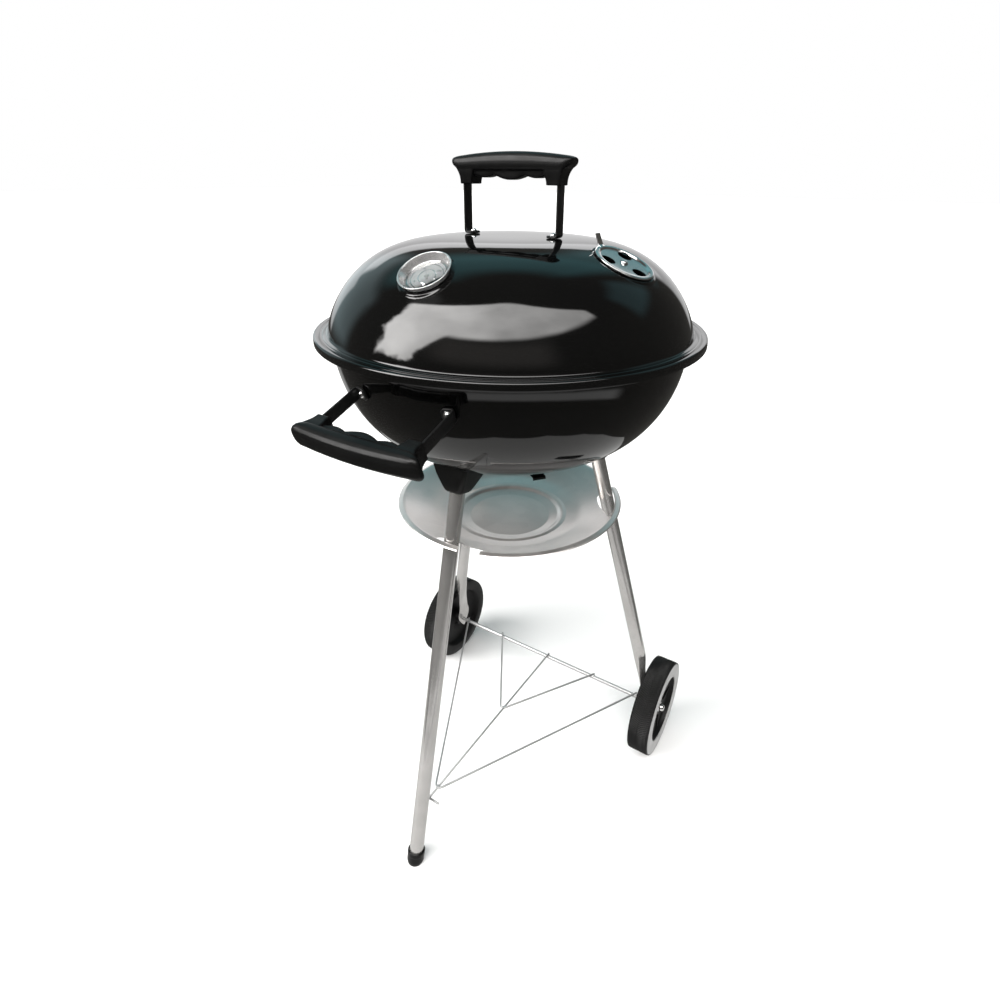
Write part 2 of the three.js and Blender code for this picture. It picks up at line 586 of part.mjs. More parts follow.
function wheelSolid() {
  const half = wheel.width / 2;
  const { radius, hub, dish, bore } = wheel;
  const web = half - dish;
  return turned([[bore, -half + 0.3], [13, -half + 0.3], [14, -web + 3], [radius - 22, -web + 3],
    [radius - 18, -half], [radius - 2, -half], [radius, -half + 2],
    [radius, half - 2], [radius - 2, half], [radius - 9, half], [radius - 9, half - 1.5],
    [radius - 25, half - 1.5], [hub - 3, web], [bore, web], [bore, -half + 0.3]], 28);
}
function capNut(face) {
  const depth = axle.halfLength + 0.5;
  const { radius } = axle;
  return turned([[radius + GAP, face], [6.5, face], [6.5, face + 4.5], [4.5, face + 7.5], [0, face + 8.5],
    [0, depth], [radius + GAP, depth], [radius + GAP, face]], 12);
}
for (const [side, word] of [[-1, "left"], [1, "right"]]) {
  const frame = side > 0 ? acrossAt(0) : chain(acrossAt(0), turnX(Math.PI));
  const half = wheel.width / 2;
  const ringFrom = wheel.x + half - 1.5 + GAP;
  const hubFace = wheel.x + half - wheel.dish;
  const spacerTo = wheel.x - half;
  const spacerFrom = paddle.x + paddle.thickness / 2 + GAP;
  const trim = ring(wheel.radius - 24, wheel.radius - 9.6, ringFrom, ringFrom + 1.2, 28);
  piece("wheel_" + word, placed(wheelSolid(), frame, shift(0, 0, wheel.x)), finishes.wheelPlastic());
  piece("wheel_ring_" + word, placed(trim, frame), finishes.ringPlastic());
  piece("axle_nut_" + word, placed(capNut(hubFace + GAP), frame), finishes.chrome());
  const spacer = ring(axle.radius + GAP, 7, spacerFrom, spacerTo);
  piece("axle_spacer_" + word, placed(spacer, frame), finishes.steelTube());
}

// ---------- wire rack ----------
function wireRack() {
  const rearHeight = wheel.radius + axle.radius + wire + GAP;
  const rearY = axle.y + 3;
  const legBack = -legRadiusAt(legs[0], rack.frontHeight);
  const slope = (rearHeight - rack.frontHeight) / (rearY - legBack);
  const heightAt = (y) => rack.frontHeight + slope * (y - legBack);
  const at = (x, y) => vector(x, y, heightAt(y));
  const vee = (halfWidth, apex, bend) =>
    bentWire(at(-halfWidth, rearY), at(0, apex), at(halfWidth, rearY), bend);
  const stopY = legBack + tube.radius + 8;
  const stopDrop = vector(0, 0, -1.8 * wire);
  return joined([
    vee(rack.outerX, rack.outerY, 14),
    vee(rack.innerX, rack.innerY, 10),
    straightWire(at(0, legBack), at(rack.skew, rearY)),
    straightWire(at(-rack.stopHalf, stopY).add(stopDrop), at(rack.stopHalf, stopY).add(stopDrop)),
  ]);
}
piece("wire_rack", wireRack(), finishes.chrome());

// ---------- ash catcher ----------
// The slots wrap the legs on three sides and open through the rim beside them.
function slotShape({ from, inside }) {
  const at = ([radius, angle]) =>
    new THREE.Vector2(radius, 0).rotateAround(new THREE.Vector2(), degrees(angle));
  const beyond = pan.radius + 10;
  const outline = new THREE.Shape();
  outline.moveTo(...at([beyond, inside.at(-1)[1]]).toArray());
  for (const spot of [...inside].reverse()) outline.lineTo(...at(spot).toArray());
  for (const angle of spread(9, from, slotArm.tip)) {
    outline.lineTo(...at([slotArm.radius, angle]).toArray());
  }
  outline.lineTo(...at([beyond, slotArm.tip + 0.8]).toArray());
  return outline;
}
function ashCatcher() {
  const { radius, thickness, rim, rimDrop, dish, bead, wellDepth } = pan;
  const top = [
    [0, -dish - wellDepth], [bead - 18, -dish - wellDepth], [bead - 7, -dish - 2], [bead, -dish + 1.2],
    [bead + 5, -dish + 0.8], [radius - rim - 22, -7], [radius - rim, 0], [radius, -rimDrop]];
  const under = moved(top, -thickness).map(([r, z]) => [Math.min(r, radius - 0.2), z]);
  const disc = placed(turned([...top, ...under.reverse()], 32), shift(0, 0, pan.height));
  const tall = 40;
  const slots = legs.map((leg) => {
    const shape = slotShape(leg.name === "front" ? frontSlot : rearSlot);
    return placed(plate(shape, tall), shift(0, 0, pan.height - tall / 2), turnZ(leg.azimuth));
  });
  return disc.subtract(joined(slots));
}
piece("ash_catcher", ashCatcher(), finishes.galvanised());

// ---------- bowl and side handle ----------
const bowlRadiusAt = (height) =>
  bowlPoint(Math.asin(((bowl.base - height) / bowl.depth) ** (bowl.bottom / 2)))[0];
const sideRadius = bowlRadiusAt(sideHandleHeight);
const wallNormal = onShell(bowlPoint, sideRadius, degrees(-90)).normal;
const sideNormal = vector(0, -Math.cos(sideHandleTilt), -Math.sin(sideHandleTilt));
const sideFootGap = FACET_GAP + (strap.width / 2) * Math.sin(sideNormal.angleTo(wallNormal));
const wallAt = (x) => Math.sqrt(sideRadius ** 2 - x ** 2);
const sideFootAngle = Math.atan((wallAt(strap.outside - strap.foot) - wallAt(strap.outside)) / strap.foot);
const sideHandleOrigin = vector(0, -wallAt(strap.outside), sideHandleHeight)
  .addScaledVector(sideNormal, sideFootGap);
const sideHandleFrame = chain(
  turnZ(sideHandleAzimuth + Math.PI / 2),
  frameAt(sideHandleOrigin, sideNormal, vector(1, 0, 0)),
);
const sideHandleHoles = handle("side_handle", sideHandleFrame, sideFootAngle, kettle);

const bowlBottom = bowl.base - bowl.depth;
function bowlShell() {
  const vents = [0, 1, 2].map((i) =>
    placed(rod(bowlVent.holeRadius, bowlBottom - 10, bowlBottom + 10), turnZ(bowlVent.azimuth),
      turnZ(degrees(60 + i * 120)), shift(bowlVent.circle, 0, 0)));
  const socketBolts = legs.map((leg) => placed(rod(handleBolt.radius + GAP, -10, 10), socketBoltFrame(leg)));
  const rivetHole = rod(rivet.radius + GAP, bowlBottom - 10, bowlBottom + 10);
  return turned([...bowlProfile, ...moved(bowlProfile, sheet).reverse()], ROUND)
    .subtract(joined([...vents, ...socketBolts, sideHandleHoles, rivetHole]));
}
piece("bowl_shell", bowlShell(), finishes.enamel());

// ---------- bowl vent ----------
const damperTop = bowlBottom - GAP;
function bowlDamper() {
  const { disc, thickness, tabReach, tabWidth, tabDrop, azimuth, closedBy, circle, holeRadius } = bowlVent;
  const overlap = 6;
  const height = damperTop - thickness / 2;
  const tabLength = tabReach - disc + overlap;
  const tab = blockAt([tabLength, tabWidth, thickness], [tabReach - tabLength / 2, 0, height]);
  const turnedDown = blockAt([thickness, tabWidth, tabDrop], [tabReach, 0, damperTop - tabDrop / 2]);
  const plain = joined([rod(disc, damperTop - thickness, damperTop, 24), tab, turnedDown]);
  const holes = [0, 1, 2].map((i) =>
    placed(rod(holeRadius, height - 5, height + 5), turnZ(closedBy + degrees(60 + i * 120)),
      shift(circle, 0, 0)));
  const rivetHole = rod(rivet.radius + GAP, height - 5, height + 5);
  return placed(plain.subtract(joined([...holes, rivetHole])), turnZ(azimuth));
}
function bowlRivet() {
  const { radius, headRadius, head } = rivet;
  const headTop = damperTop - bowlVent.thickness - GAP;
  const tailFrom = bowlBottom + sheet + FACET_GAP;
  return turned([[0, headTop - head], [headRadius, headTop - head], [headRadius, headTop], [radius, headTop],
    [radius, tailFrom], [headRadius, tailFrom], [headRadius, tailFrom + head], [0, tailFrom + head]]);
}
piece("bowl_vent_damper", bowlDamper(), finishes.galvanised());
piece("bowl_vent_rivet", bowlRivet(), finishes.chrome());

// ---------- grates and their brackets ----------
// A round wire hoop with parallel bars across it and one bar beneath them.
function grate(radius, pitch, barRadius) {
  const hoop = turned(spread(7, 0, 2 * Math.PI).map((angle) =>
    [radius - grateWire + grateWire * Math.cos(angle), grateWire * Math.sin(angle)]), ROUND);
  const bars = [];
  const half = radius - grateWire;
  const count = Math.floor((half - pitch / 2) / pitch);
  for (let i = -count; i <= count; i++) {
    const reach = Math.sqrt(half ** 2 - (i * pitch) ** 2);
    bars.push(straightWire(vector(-reach, i * pitch, 0), vector(reach, i * pitch, 0), barRadius));
  }
  const crossReach = count * pitch + barRadius;
  bars.push(straightWire(vector(0, -crossReach, -barRadius), vector(0, crossReach, -barRadius), barRadius));
  return hoop.add(joined(bars));
}
const seat = onShell(bowlPoint, charcoalGrate.seat, 0);
const inset = sheet + FACET_GAP + grateWire;
const charcoalRadius = charcoalGrate.seat - seat.normal.x * inset + grateWire;
const charcoalHeight = seat.height - seat.normal.z * inset;
piece("cooking_grate", placed(grate(cookingGrate.radius, cookingGrate.pitch, cookingGrate.barRadius),
  shift(0, 0, cookingGrate.height)), finishes.chrome());
piece("charcoal_grate", placed(grate(charcoalRadius, charcoalGrate.pitch, charcoalGrate.barRadius),
  shift(0, 0, charcoalHeight)), finishes.steelTube());

const bowlInside = filled(moved(bowlProfile.slice(0, -2), sheet + GAP));
function grateBracket(azimuth) {
  const shelfTop = cookingGrate.height - grateWire - GAP;
  const shelf = blockAt([40, 14, 1.6], [cookingGrate.radius + 12, 0, shelfTop - 0.8]);
  const wallPlate = blockAt([40, 14, 16], [cookingGrate.radius + 12, 0, shelfTop - 8]);
  const behind = placed(bowlInside, turnZ(azimuth).invert());
  const inner = placed(filled(moved(bowlProfile.slice(0, -2), sheet + GAP + 1.6)), turnZ(azimuth).invert());
  const shape = joined([shelf, wallPlate.subtract(inner)]).intersect(behind);
  return placed(shape, turnZ(azimuth));
}
bracketAzimuths.forEach((azimuth, i) =>
  piece("grate_bracket_" + (i + 1), grateBracket(azimuth), finishes.galvanised()));

// ---------- the whole grill, centred over its own footprint ----------
const middle = new THREE.Box3().setFromObject(kettle).getCenter(new THREE.Vector3());
kettle.position.set(-middle.x, -middle.y, 0);

export default kettle;
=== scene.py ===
"""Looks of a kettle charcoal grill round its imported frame.

Shapes are in millimetres in the kettle's own frame: Z is its axis and the floor is z = 0.
"""

import math

import bmesh
import bpy
import numpy as np
from mathutils import Matrix, Vector


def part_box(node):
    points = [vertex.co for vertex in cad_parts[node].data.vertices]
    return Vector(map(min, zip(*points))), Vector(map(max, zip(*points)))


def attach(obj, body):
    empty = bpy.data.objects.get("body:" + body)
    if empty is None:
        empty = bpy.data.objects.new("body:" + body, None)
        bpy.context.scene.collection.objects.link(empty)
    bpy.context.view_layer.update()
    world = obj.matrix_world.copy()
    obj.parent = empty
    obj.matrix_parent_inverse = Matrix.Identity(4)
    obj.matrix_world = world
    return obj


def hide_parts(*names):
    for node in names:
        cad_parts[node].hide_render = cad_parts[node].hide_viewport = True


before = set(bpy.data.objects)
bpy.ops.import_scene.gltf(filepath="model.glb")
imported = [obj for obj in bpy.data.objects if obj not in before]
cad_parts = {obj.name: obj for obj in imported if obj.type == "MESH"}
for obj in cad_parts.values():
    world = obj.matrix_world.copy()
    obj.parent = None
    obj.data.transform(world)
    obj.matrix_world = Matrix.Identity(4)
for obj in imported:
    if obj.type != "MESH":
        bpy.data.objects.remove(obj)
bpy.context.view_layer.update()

MM = 0.001
TURN = 2 * math.pi
bowl_low, bowl_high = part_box("bowl_shell")
AXIS_X = (bowl_low.x + bowl_high.x) / 2
AXIS_Y = (bowl_low.y + bowl_high.y) / 2
KETTLE = Matrix.Translation((AXIS_X, AXIS_Y, 0)) @ Matrix.Scale(MM, 4)


# ---------- camera ----------
def make_camera():
    heading, pitch, roll = math.radians(121.51), math.radians(-23.91), math.radians(0.70)
    forward = Vector(
        (math.cos(heading) * math.cos(pitch), math.sin(heading) * math.cos(pitch), math.sin(pitch))
    )
    level = forward.cross(Vector((0, 0, 1))).normalized()
    upright = level.cross(forward)
    right = math.cos(roll) * level + math.sin(roll) * upright
    up = -math.sin(roll) * level + math.cos(roll) * upright
    lens = bpy.data.cameras.new("camera")
    lens.sensor_width = 36
    lens.lens = 21.62
    lens.shift_x, lens.shift_y = -0.017, -0.0592
    lens.clip_start, lens.clip_end = 0.01, 50
    camera = bpy.data.objects.new("camera", lens)
    turned = Matrix((right, up, -forward)).transposed().to_4x4()
    camera.matrix_world = Matrix.Translation((AXIS_X + 0.38574, AXIS_Y - 0.61261, 0.86318)) @ turned
    bpy.context.scene.collection.objects.link(camera)
    bpy.context.scene.camera = camera


make_camera()


# ---------- materials ----------
class Tree:
    """A node tree, with short calls for the nodes that the materials and the world share."""

    def __init__(self, owner, place):
        owner.use_nodes = True
        self.tree = owner.node_tree
        self.place = self.new("TexCoord").outputs[place]

    def new(self, kind, **values):
        node = self.tree.nodes.new("ShaderNode" + kind)
        for key, value in values.items():
            if key in node.inputs:
                node.inputs[key].default_value = value
            else:
                setattr(node, key, value)
        return node

    def link(self, source, target):
        self.tree.links.new(source, target)

    def noise(self, scale, detail=4.0, vector=None, roughness=0.55):
        node = self.new("TexNoise", Scale=scale, Detail=detail, Roughness=roughness)
        self.link(vector or self.place, node.inputs["Vector"])
        return node.outputs["Fac"]

    def remap(self, value, low, high, first=0.0, last=1.0, kind="LINEAR"):
        node = self.new("MapRange", interpolation_type=kind)
        for key, number in (("From Min", low), ("From Max", high), ("To Min", first), ("To Max", last)):
            node.inputs[key].default_value = number
        self.link(value, node.inputs["Value"])
        return node.outputs["Result"]


class Nodes(Tree):
    """A material's node tree."""

    def __init__(self, name):
        self.material = bpy.data.materials.new(name)
        super().__init__(self.material, "Object")
        self.shader = self.tree.nodes["Principled BSDF"]

    def scaled(self, x, y, z):
        mapping = self.new("Mapping", Scale=(x, y, z))
        self.link(self.place, mapping.inputs["Vector"])
        return mapping.outputs["Vector"]

    def bump(self, heights, strength):
        """Adds bump layers, each (height, depth in metres)."""
        previous = None
        for height, depth in heights:
            node = self.new("Bump", Strength=strength, Distance=depth)
            self.link(height, node.inputs["Height"])
            if previous:
                self.link(previous, node.inputs["Normal"])
            previous = node.outputs["Normal"]
        self.link(previous, self.shader.inputs["Normal"])

    def set(self, **values):
        for key, value in values.items():
            self.shader.inputs[key.replace("_", " ")].default_value = value
        return self

    def colour(self, value, low, high, start=0.3, end=0.7):
        node = self.new("ValToRGB")
        for element, position, colour in zip(node.color_ramp.elements, (start, end), (low, high)):
            element.position, element.color = position, (*colour, 1)
        self.link(value, node.inputs["Fac"])
        self.link(node.outputs["Color"], self.shader.inputs["Base Color"])

    def roughness(self, value, low, high):
        self.link(self.remap(value, 0.3, 0.7, low, high), self.shader.inputs["Roughness"])


def grey(value, warm=0.0):
    return (value * (1 + warm), value, value * (1 - warm))


def enamel():
    n = Nodes("enamel").set(IOR=1.52)
    n.colour(n.noise(9, 3), (0.0011, 0.0012, 0.0013), (0.0021, 0.0021, 0.0020))
    n.roughness(n.noise(14, 5), 0.035, 0.075)
    n.bump([(n.noise(48, 1.0), 0.00004)], 1.0)
    return n.material


def plastic(name, low, high, rough, grain=1500.0, depth=0.00002, shine=0.5):
    n = Nodes(name).set(IOR=1.48, Specular_IOR_Level=shine)
    n.colour(n.noise(35, 4), low, high)
    n.roughness(n.noise(60, 5), rough - 0.05, rough + 0.05)
    n.bump([(n.noise(grain, 2), depth), (n.noise(24, 2), 0.0002)], 0.9)
    return n.material


def painted_steel():
    n = Nodes("painted_steel").set(IOR=1.5, Specular_IOR_Level=0.3)
    n.colour(n.noise(40, 4), grey(0.0045), grey(0.008), 0.3, 0.75)
    n.roughness(n.noise(90, 5), 0.26, 0.4)
    n.bump([(n.noise(900, 3), 0.00002)], 0.8)
    return n.material


def metal(name, low, high, rough_low, rough_high, streak=(30, 30, 30), bump=0.000004, metallic=1.0):
    """A metal whose gloss varies in streaks; `streak` says how fine they are along X, Y and Z."""
    n = Nodes(name).set(Metallic=metallic)
    streaks = n.noise(1.0, 6, n.scaled(*streak))
    n.colour(n.noise(18, 5), low, high)
    n.roughness(streaks, rough_low, rough_high)
    n.bump([(n.noise(1.0, 4, n.scaled(*(8 * s for s in streak))), bump)], 1.0)
    return n.material


def galvanised():
    n = Nodes("galvanised").set(Metallic=0.88)
    flakes = n.new("TexVoronoi", Scale=70.0)
    n.link(n.place, flakes.inputs["Vector"])
    mixed = n.new("Mix", data_type="FLOAT")
    mixed.inputs[0].default_value = 0.22
    n.link(n.noise(11, 6), mixed.inputs[2])
    n.link(flakes.outputs["Color"], mixed.inputs[3])
    n.colour(mixed.outputs[0], (0.69, 0.663, 0.645), (0.82, 0.79, 0.77), 0.25, 0.75)
    n.roughness(mixed.outputs[0], 0.3, 0.44)
    n.bump([(n.noise(30, 3), 0.0002), (n.noise(700, 3), 0.00001)], 0.8)
    return n.material


def glass():
    n = Nodes("glass").set(IOR=1.45, Transmission_Weight=1.0)
    n.roughness(n.noise(30, 4), 0.0, 0.03)
    n.colour(n.noise(20, 2), (0.95, 0.97, 0.97), (1, 1, 1))
    n.bump([(n.noise(60, 2), 0.00001)], 0.5)
    return n.material


# Looks, each a material and its slot.
ENAMEL = enamel(), "enamel"
PLASTIC = plastic("black_plastic", grey(0.0026), grey(0.005), 0.34, shine=0.2), "black_plastic"
TYRE = plastic("wheel_plastic", grey(0.0045), grey(0.008), 0.42, 700, 0.00004, 0.16), "wheel_plastic"
RING = plastic("ring_plastic", grey(0.36), grey(0.44), 0.42, 900, 0.00003), "ring_plastic"
PAINTED = painted_steel(), "black_steel"
CHROME = metal("chrome", grey(0.72), grey(0.8), 0.05, 0.14), "chrome"
PLATED = grey(0.50, 0.02), grey(0.62, 0.02)
TUBE = metal("steel_tube", *PLATED, 0.14, 0.26, (45, 45, 3), 0.000003, 0.86), "steel_tube"
WIRE = metal("wire", grey(0.42), grey(0.54), 0.3, 0.42, (60, 60, 60), 0.000002, 0.7), "chrome"
SATIN = metal("satin_chrome", grey(0.6), grey(0.72), 0.16, 0.28, (60, 60, 60), 0.000004, 0.8), "chrome"
VENT = metal("vent_steel", grey(0.62), grey(0.74), 0.1, 0.2, (25, 25, 25), 0.000006), "galvanised"
GALVANISED = galvanised(), "galvanised"
GLASS = glass(), "glass"
DIAL = plastic("dial_paint", grey(0.30), grey(0.40), 0.34, 500, 0.00001), "dial_paint"
INK = plastic("dial_ink", grey(0.05), grey(0.08), 0.5), "black_plastic"
POINTER = plastic("pointer_paint", grey(0.22, 0.03), grey(0.30, 0.03), 0.35), "pointer_paint"
COOKING_WIRE = CHROME[0], "grate_wire"
CHARCOAL_WIRE = WIRE[0], "grate_wire"


# ---------- shapes: (points, faces) ----------
def revolve(profile, count=144, angles=None, loop=False):
    """A turned surface about Z from (radius, height) points; loop joins the profile's ends."""
    if angles is None:
        angles = [TURN * i / count for i in range(count)]
    points, rows = [], []
    for radius, height in profile:
        if radius < 1e-6:
            rows.append([len(points)] * len(angles))
            points.append((0, 0, height))
        else:
            rows.append(range(len(points), len(points) + len(angles)))
            points.extend(polar(radius, a, height) for a in angles)
    return points, skin(rows, loop)


def skin(rows, loop=False):
    """Faces between rows of point numbers that go round."""
    faces = []
    for i in range(len(rows) if loop else len(rows) - 1):
        low, high = rows[i], rows[(i + 1) % len(rows)]
        for j in range(len(low)):
            k = (j + 1) % len(low)
            face = list(dict.fromkeys((low[j], low[k], high[k], high[j])))
            if len(face) > 2:
                faces.append(face)
    return faces


def loft(rings):
    """Rings of as many points each, joined in order and closed at both ends."""
    count = len(rings[0])
    rows = [range(i * count, (i + 1) * count) for i in range(len(rings))]
    faces = skin(rows) + [list(rows[0]), list(rows[-1])]
    return [tuple(p) for ring in rings for p in ring], faces


def joined(*shapes):
    points, faces = [], []
    for shape in shapes:
        start = len(points)
        points.extend(shape[0])
        faces.extend([start + i for i in face] for face in shape[1])
    return points, faces


def placed(shape, *matrices):
    matrix = Matrix.Identity(4)
    for m in matrices:
        matrix = matrix @ m
    return [tuple(matrix @ Vector(p)) for p in shape[0]], shape[1]


def shift(x, y, z):
    return Matrix.Translation((x, y, z))


def turn(angle, axis):
    return Matrix.Rotation(angle, 4, axis)


def polar(radius, angle, height=0.0):
    return radius * math.cos(angle), radius * math.sin(angle), height


def rectangle(half_x, half_y, radius, steps=3):
    """A rectangle's outline, with corners rounded over `radius`."""
    corners = [(-half_x, -half_y), (half_x, -half_y), (half_x, half_y), (-half_x, half_y)]
    return eased([(*corner, radius) for corner in corners], steps, closed=True)


def eased(corners, steps=6, closed=False):
    """A polyline of (x, y) or (x, y, radius) corners, with the corners that have a radius rounded."""
    made = []
    count = len(corners)
    for i, corner in enumerate(corners):
        here = Vector(corner[:2])
        inner = closed or 0 < i < count - 1
        if len(corner) < 3 or corner[2] <= 0 or not inner:
            made.append(tuple(here))
            continue
        before = Vector(corners[i - 1][:2]) - here
        after = Vector(corners[(i + 1) % count][:2]) - here
        half = before.angle(after) / 2
        reach = min(corner[2] / math.tan(half), 0.49 * before.length, 0.49 * after.length)
        radius = reach * math.tan(half)
        centre = here + (before.normalized() + after.normalized()).normalized() * (radius / math.sin(half))
        start = here + before.normalized() * reach - centre
        end = here + after.normalized() * reach - centre
        arc = start.angle_signed(end)
        for k in range(steps + 1):
            angle = -arc * k / steps
            c, s = math.cos(angle), math.sin(angle)
            made.append((centre.x + start.x * c - start.y * s, centre.y + start.x * s + start.y * c))
    return made


def raised(corners, height):
    """Profile corners, moved up."""
    return [(r, z + height, *ease) for r, z, *ease in corners]


def rod(radius, low, high, ease=0.4, count=48):
    return revolve(eased([(0, low), (radius, low, ease), (radius, high, ease), (0, high)]), count)


def tube_ring(inside, outside, low, high, ease=0.3, count=64):
    corners = [(inside, low, ease), (outside, low, ease), (outside, high, ease), (inside, high, ease)]
    return revolve(eased(corners, closed=True), count, loop=True)


def hexagon(across, low, high):
    """A hexagon with its corners turned off, `across` its flats."""
    count = 48
    rings = []
    for z, cut in ((low, 0.97), (low + 0.35, 1.02), (high - 0.35, 1.02), (high, 0.97)):
        ring = []
        for i in range(count):
            a = TURN * i / count
            flat = across / 2 / math.cos((a + math.pi / 6) % (math.pi / 3) - math.pi / 6)
            ring.append(polar(min(flat, across / 2 * 1.155 * cut), a, z))
        rings.append(ring)
    return loft(rings)


def sweep(points, radius, sides=12):
    """A round bar along points, with eased ends."""
    path = [Vector(p) for p in points]
    rings = []
    side = None
    for i, here in enumerate(path):
        along = (path[min(i + 1, len(path) - 1)] - path[max(i - 1, 0)]).normalized()
        if side is None:
            side = along.orthogonal().normalized()
        side = (side - along * side.dot(along)).normalized()
        other = along.cross(side)
        ring = [polar(radius, TURN * k / sides) for k in range(sides)]
        rings.append([here + side * u + other * v for u, v, _ in ring])
    first = round_end(rings[0], path[0], path[1])
    last = round_end(rings[-1], path[-1], path[-2])
    return loft([first, *rings, last])


def round_end(ring, centre, inner):
    """A smaller ring just beyond a bar's end, so that its edge is eased."""
    out = (centre - inner).normalized() * (ring[0] - centre).length * 0.3
    return [centre + (p - centre) * 0.7 + out for p in ring]


def bent(corners, bend, steps=8):
    """A path through 3-D corners, each inner one rounded over `bend`."""
    points = [Vector(c) for c in corners]
    path = [points[0]]
    for before, here, after in zip(points, points[1:], points[2:]):
        a = here + (before - here).normalized() * bend
        b = here + (after - here).normalized() * bend
        for k in range(steps + 1):
            t = k / steps
            path.append(a * (1 - t) ** 2 + here * 2 * t * (1 - t) + b * t * t)
    path.append(points[-1])
    return path


def plate(outline, thickness, ease=0.25):
    """A flat outline in X and Y, thickened along +Z, with eased edges."""
    work = bmesh.new()
    base = work.faces.new([work.verts.new((x, y, 0)) for x, y in outline])
    lifted = bmesh.ops.extrude_face_region(work, geom=[base])["geom"]
    lifted = [v for v in lifted if isinstance(v, bmesh.types.BMVert)]
    bmesh.ops.translate(work, vec=(0, 0, thickness), verts=lifted)
    rims = [e for e in work.edges if abs(e.verts[0].co.z - e.verts[1].co.z) < 1e-6]
    bmesh.ops.bevel(work, geom=rims, offset=ease, segments=2, profile=0.5, affect="EDGES")
    work.verts.index_update()
    points = [tuple(v.co) for v in work.verts]
    faces = [[v.index for v in f.verts] for f in work.faces]
    work.free()
    return points, faces


def box(size, at, ease=0.4):
    x, y, z = (s / 2 for s in size)
    return placed(plate(rectangle(x, y, ease), size[2], ease * 0.8), shift(at[0], at[1], at[2] - z))


def ribbon(path, section):
    """A strip along (x, z) points; section(i) is its outline at point i, as (out of the strip, across it)."""
    rings = []
    for i, (x, z) in enumerate(path):
        before, after = Vector(path[max(i - 1, 0)]), Vector(path[min(i + 1, len(path) - 1)])
        along = (after - before).normalized()
        rings.append([(x - along.y * u, v, z + along.x * u) for u, v in section(i)])
    return loft(rings)


def holes(count, radius, circle, *matrices, reach=9.0, sides=64):
    """Round bars to cut `count` holes with, spread evenly on a circle."""
    bar = placed(rod(radius, -reach, reach, 0, sides), shift(circle, 0, 0))
    return joined(*(placed(bar, *matrices, turn(TURN * i / count, "Z")) for i in range(count)))


# ---------- pieces ----------
def bare(name, shape):
    """An object from a shape, without a body or a look."""
    mesh = bpy.data.meshes.new(name)
    mesh.from_pydata([tuple(KETTLE @ Vector(p)) for p in shape[0]], [], shape[1])
    work = bmesh.new()
    work.from_mesh(mesh)
    bmesh.ops.recalc_face_normals(work, faces=work.faces)
    work.to_mesh(mesh)
    work.free()
    piece = bpy.data.objects.new(name, mesh)
    bpy.context.scene.collection.objects.link(piece)
    return piece


def settle(piece):
    """Replaces a piece's mesh by what its modifiers make of it."""
    evaluated = piece.evaluated_get(bpy.context.evaluated_depsgraph_get())
    old = piece.data
    piece.data = bpy.data.meshes.new_from_object(evaluated)
    piece.modifiers.clear()
    bpy.data.meshes.remove(old)


def cut(piece, shape, solver="EXACT"):
    tool = bare(piece.name + "_cut", shape)
    modifier = piece.modifiers.new("cut", "BOOLEAN")
    modifier.object, modifier.operation, modifier.solver = tool, "DIFFERENCE", solver
    settle(piece)
    mesh = tool.data
    bpy.data.objects.remove(tool)
    bpy.data.meshes.remove(mesh)


def remesh(piece, voxel, smooth=4):
    modifier = piece.modifiers.new("remesh", "REMESH")
    modifier.mode, modifier.voxel_size = "VOXEL", voxel * MM
    softer = piece.modifiers.new("smooth", "SMOOTH")
    softer.factor, softer.iterations = 0.5, smooth
    settle(piece)


def finish(piece, body, look, nodes=(), sharp=35):
    material, slot = look
    mesh = piece.data
    mesh.materials.clear()
    mesh.materials.append(material)
    mesh.shade_smooth()
    mesh.set_sharp_from_angle(angle=math.radians(sharp))
    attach(piece, body)
    if nodes:
        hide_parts(*nodes)


def make(name, shape, body, look, nodes=(), sharp=35):
    """A whole piece; its name differs from those of the CAD nodes that it replaces."""
    finish(bare(name + "_fine" if name in nodes else name, shape), body, look, nodes, sharp)


def frame_at(origin, up, side):
    """A frame whose +Z is `up` and whose +X is as near to `side` as it can be."""
    z = Vector(up).normalized()
    y = z.cross(Vector(side)).normalized()
    x = y.cross(z)
    return Matrix.Translation(origin) @ Matrix((x, y, z)).transposed().to_4x4()


# ---------- the shells' profiles ----------
SHEET, GAP = 1.2, 0.3
FLANGE_RADIUS, FLANGE_FOOT, FLANGE_TOP, FLANGE_LIP = 230.0, 214.7, 698.3, 9.0
DOME_RADIUS, DOME_TAPER, DOME_BASE, DOME_RISE = 214.8, 0.209, 697.9, 101.4
DOME_SIDE, DOME_CROWN = 4.269, 1.95
BOWL_RADIUS, BOWL_BASE, BOWL_DEPTH = 210.3, 689.6, 151.0
BOWL_SIDE, BOWL_FLOOR = 3.009, 1.982
BOWL_NECK, BOWL_COLLAR, BOWL_LIP = 210.4, 212.6, 226.0
VENT_SEAT, GAUGE_SEAT, SEAT_EDGE = -3.0, -1.5, 1.9


def dome_point(angle):
    """A point of the lid's profile, a superellipse that tapers upwards."""
    height = DOME_RISE * math.sin(angle) ** (2 / DOME_CROWN)
    share = max(math.cos(angle), 0) ** (2 / DOME_SIDE)
    return share * (DOME_RADIUS - DOME_TAPER * height), DOME_BASE + height


def bowl_point(angle):
    """A point of the bowl's profile, a superellipse."""
    share = max(math.cos(angle), 0) ** (2 / BOWL_SIDE)
    return BOWL_RADIUS * share, BOWL_BASE - BOWL_DEPTH * math.sin(angle) ** (2 / BOWL_FLOOR)


def along_curve(point, first, last, step):
    """Points of a profile curve, about evenly spaced."""
    dense = [point(first + (last - first) * i / 4000) for i in range(4001)]
    made = [dense[0]]
    for p in dense:
        if math.dist(p, made[-1]) >= step(p[0]):
            made.append(p)
    return made


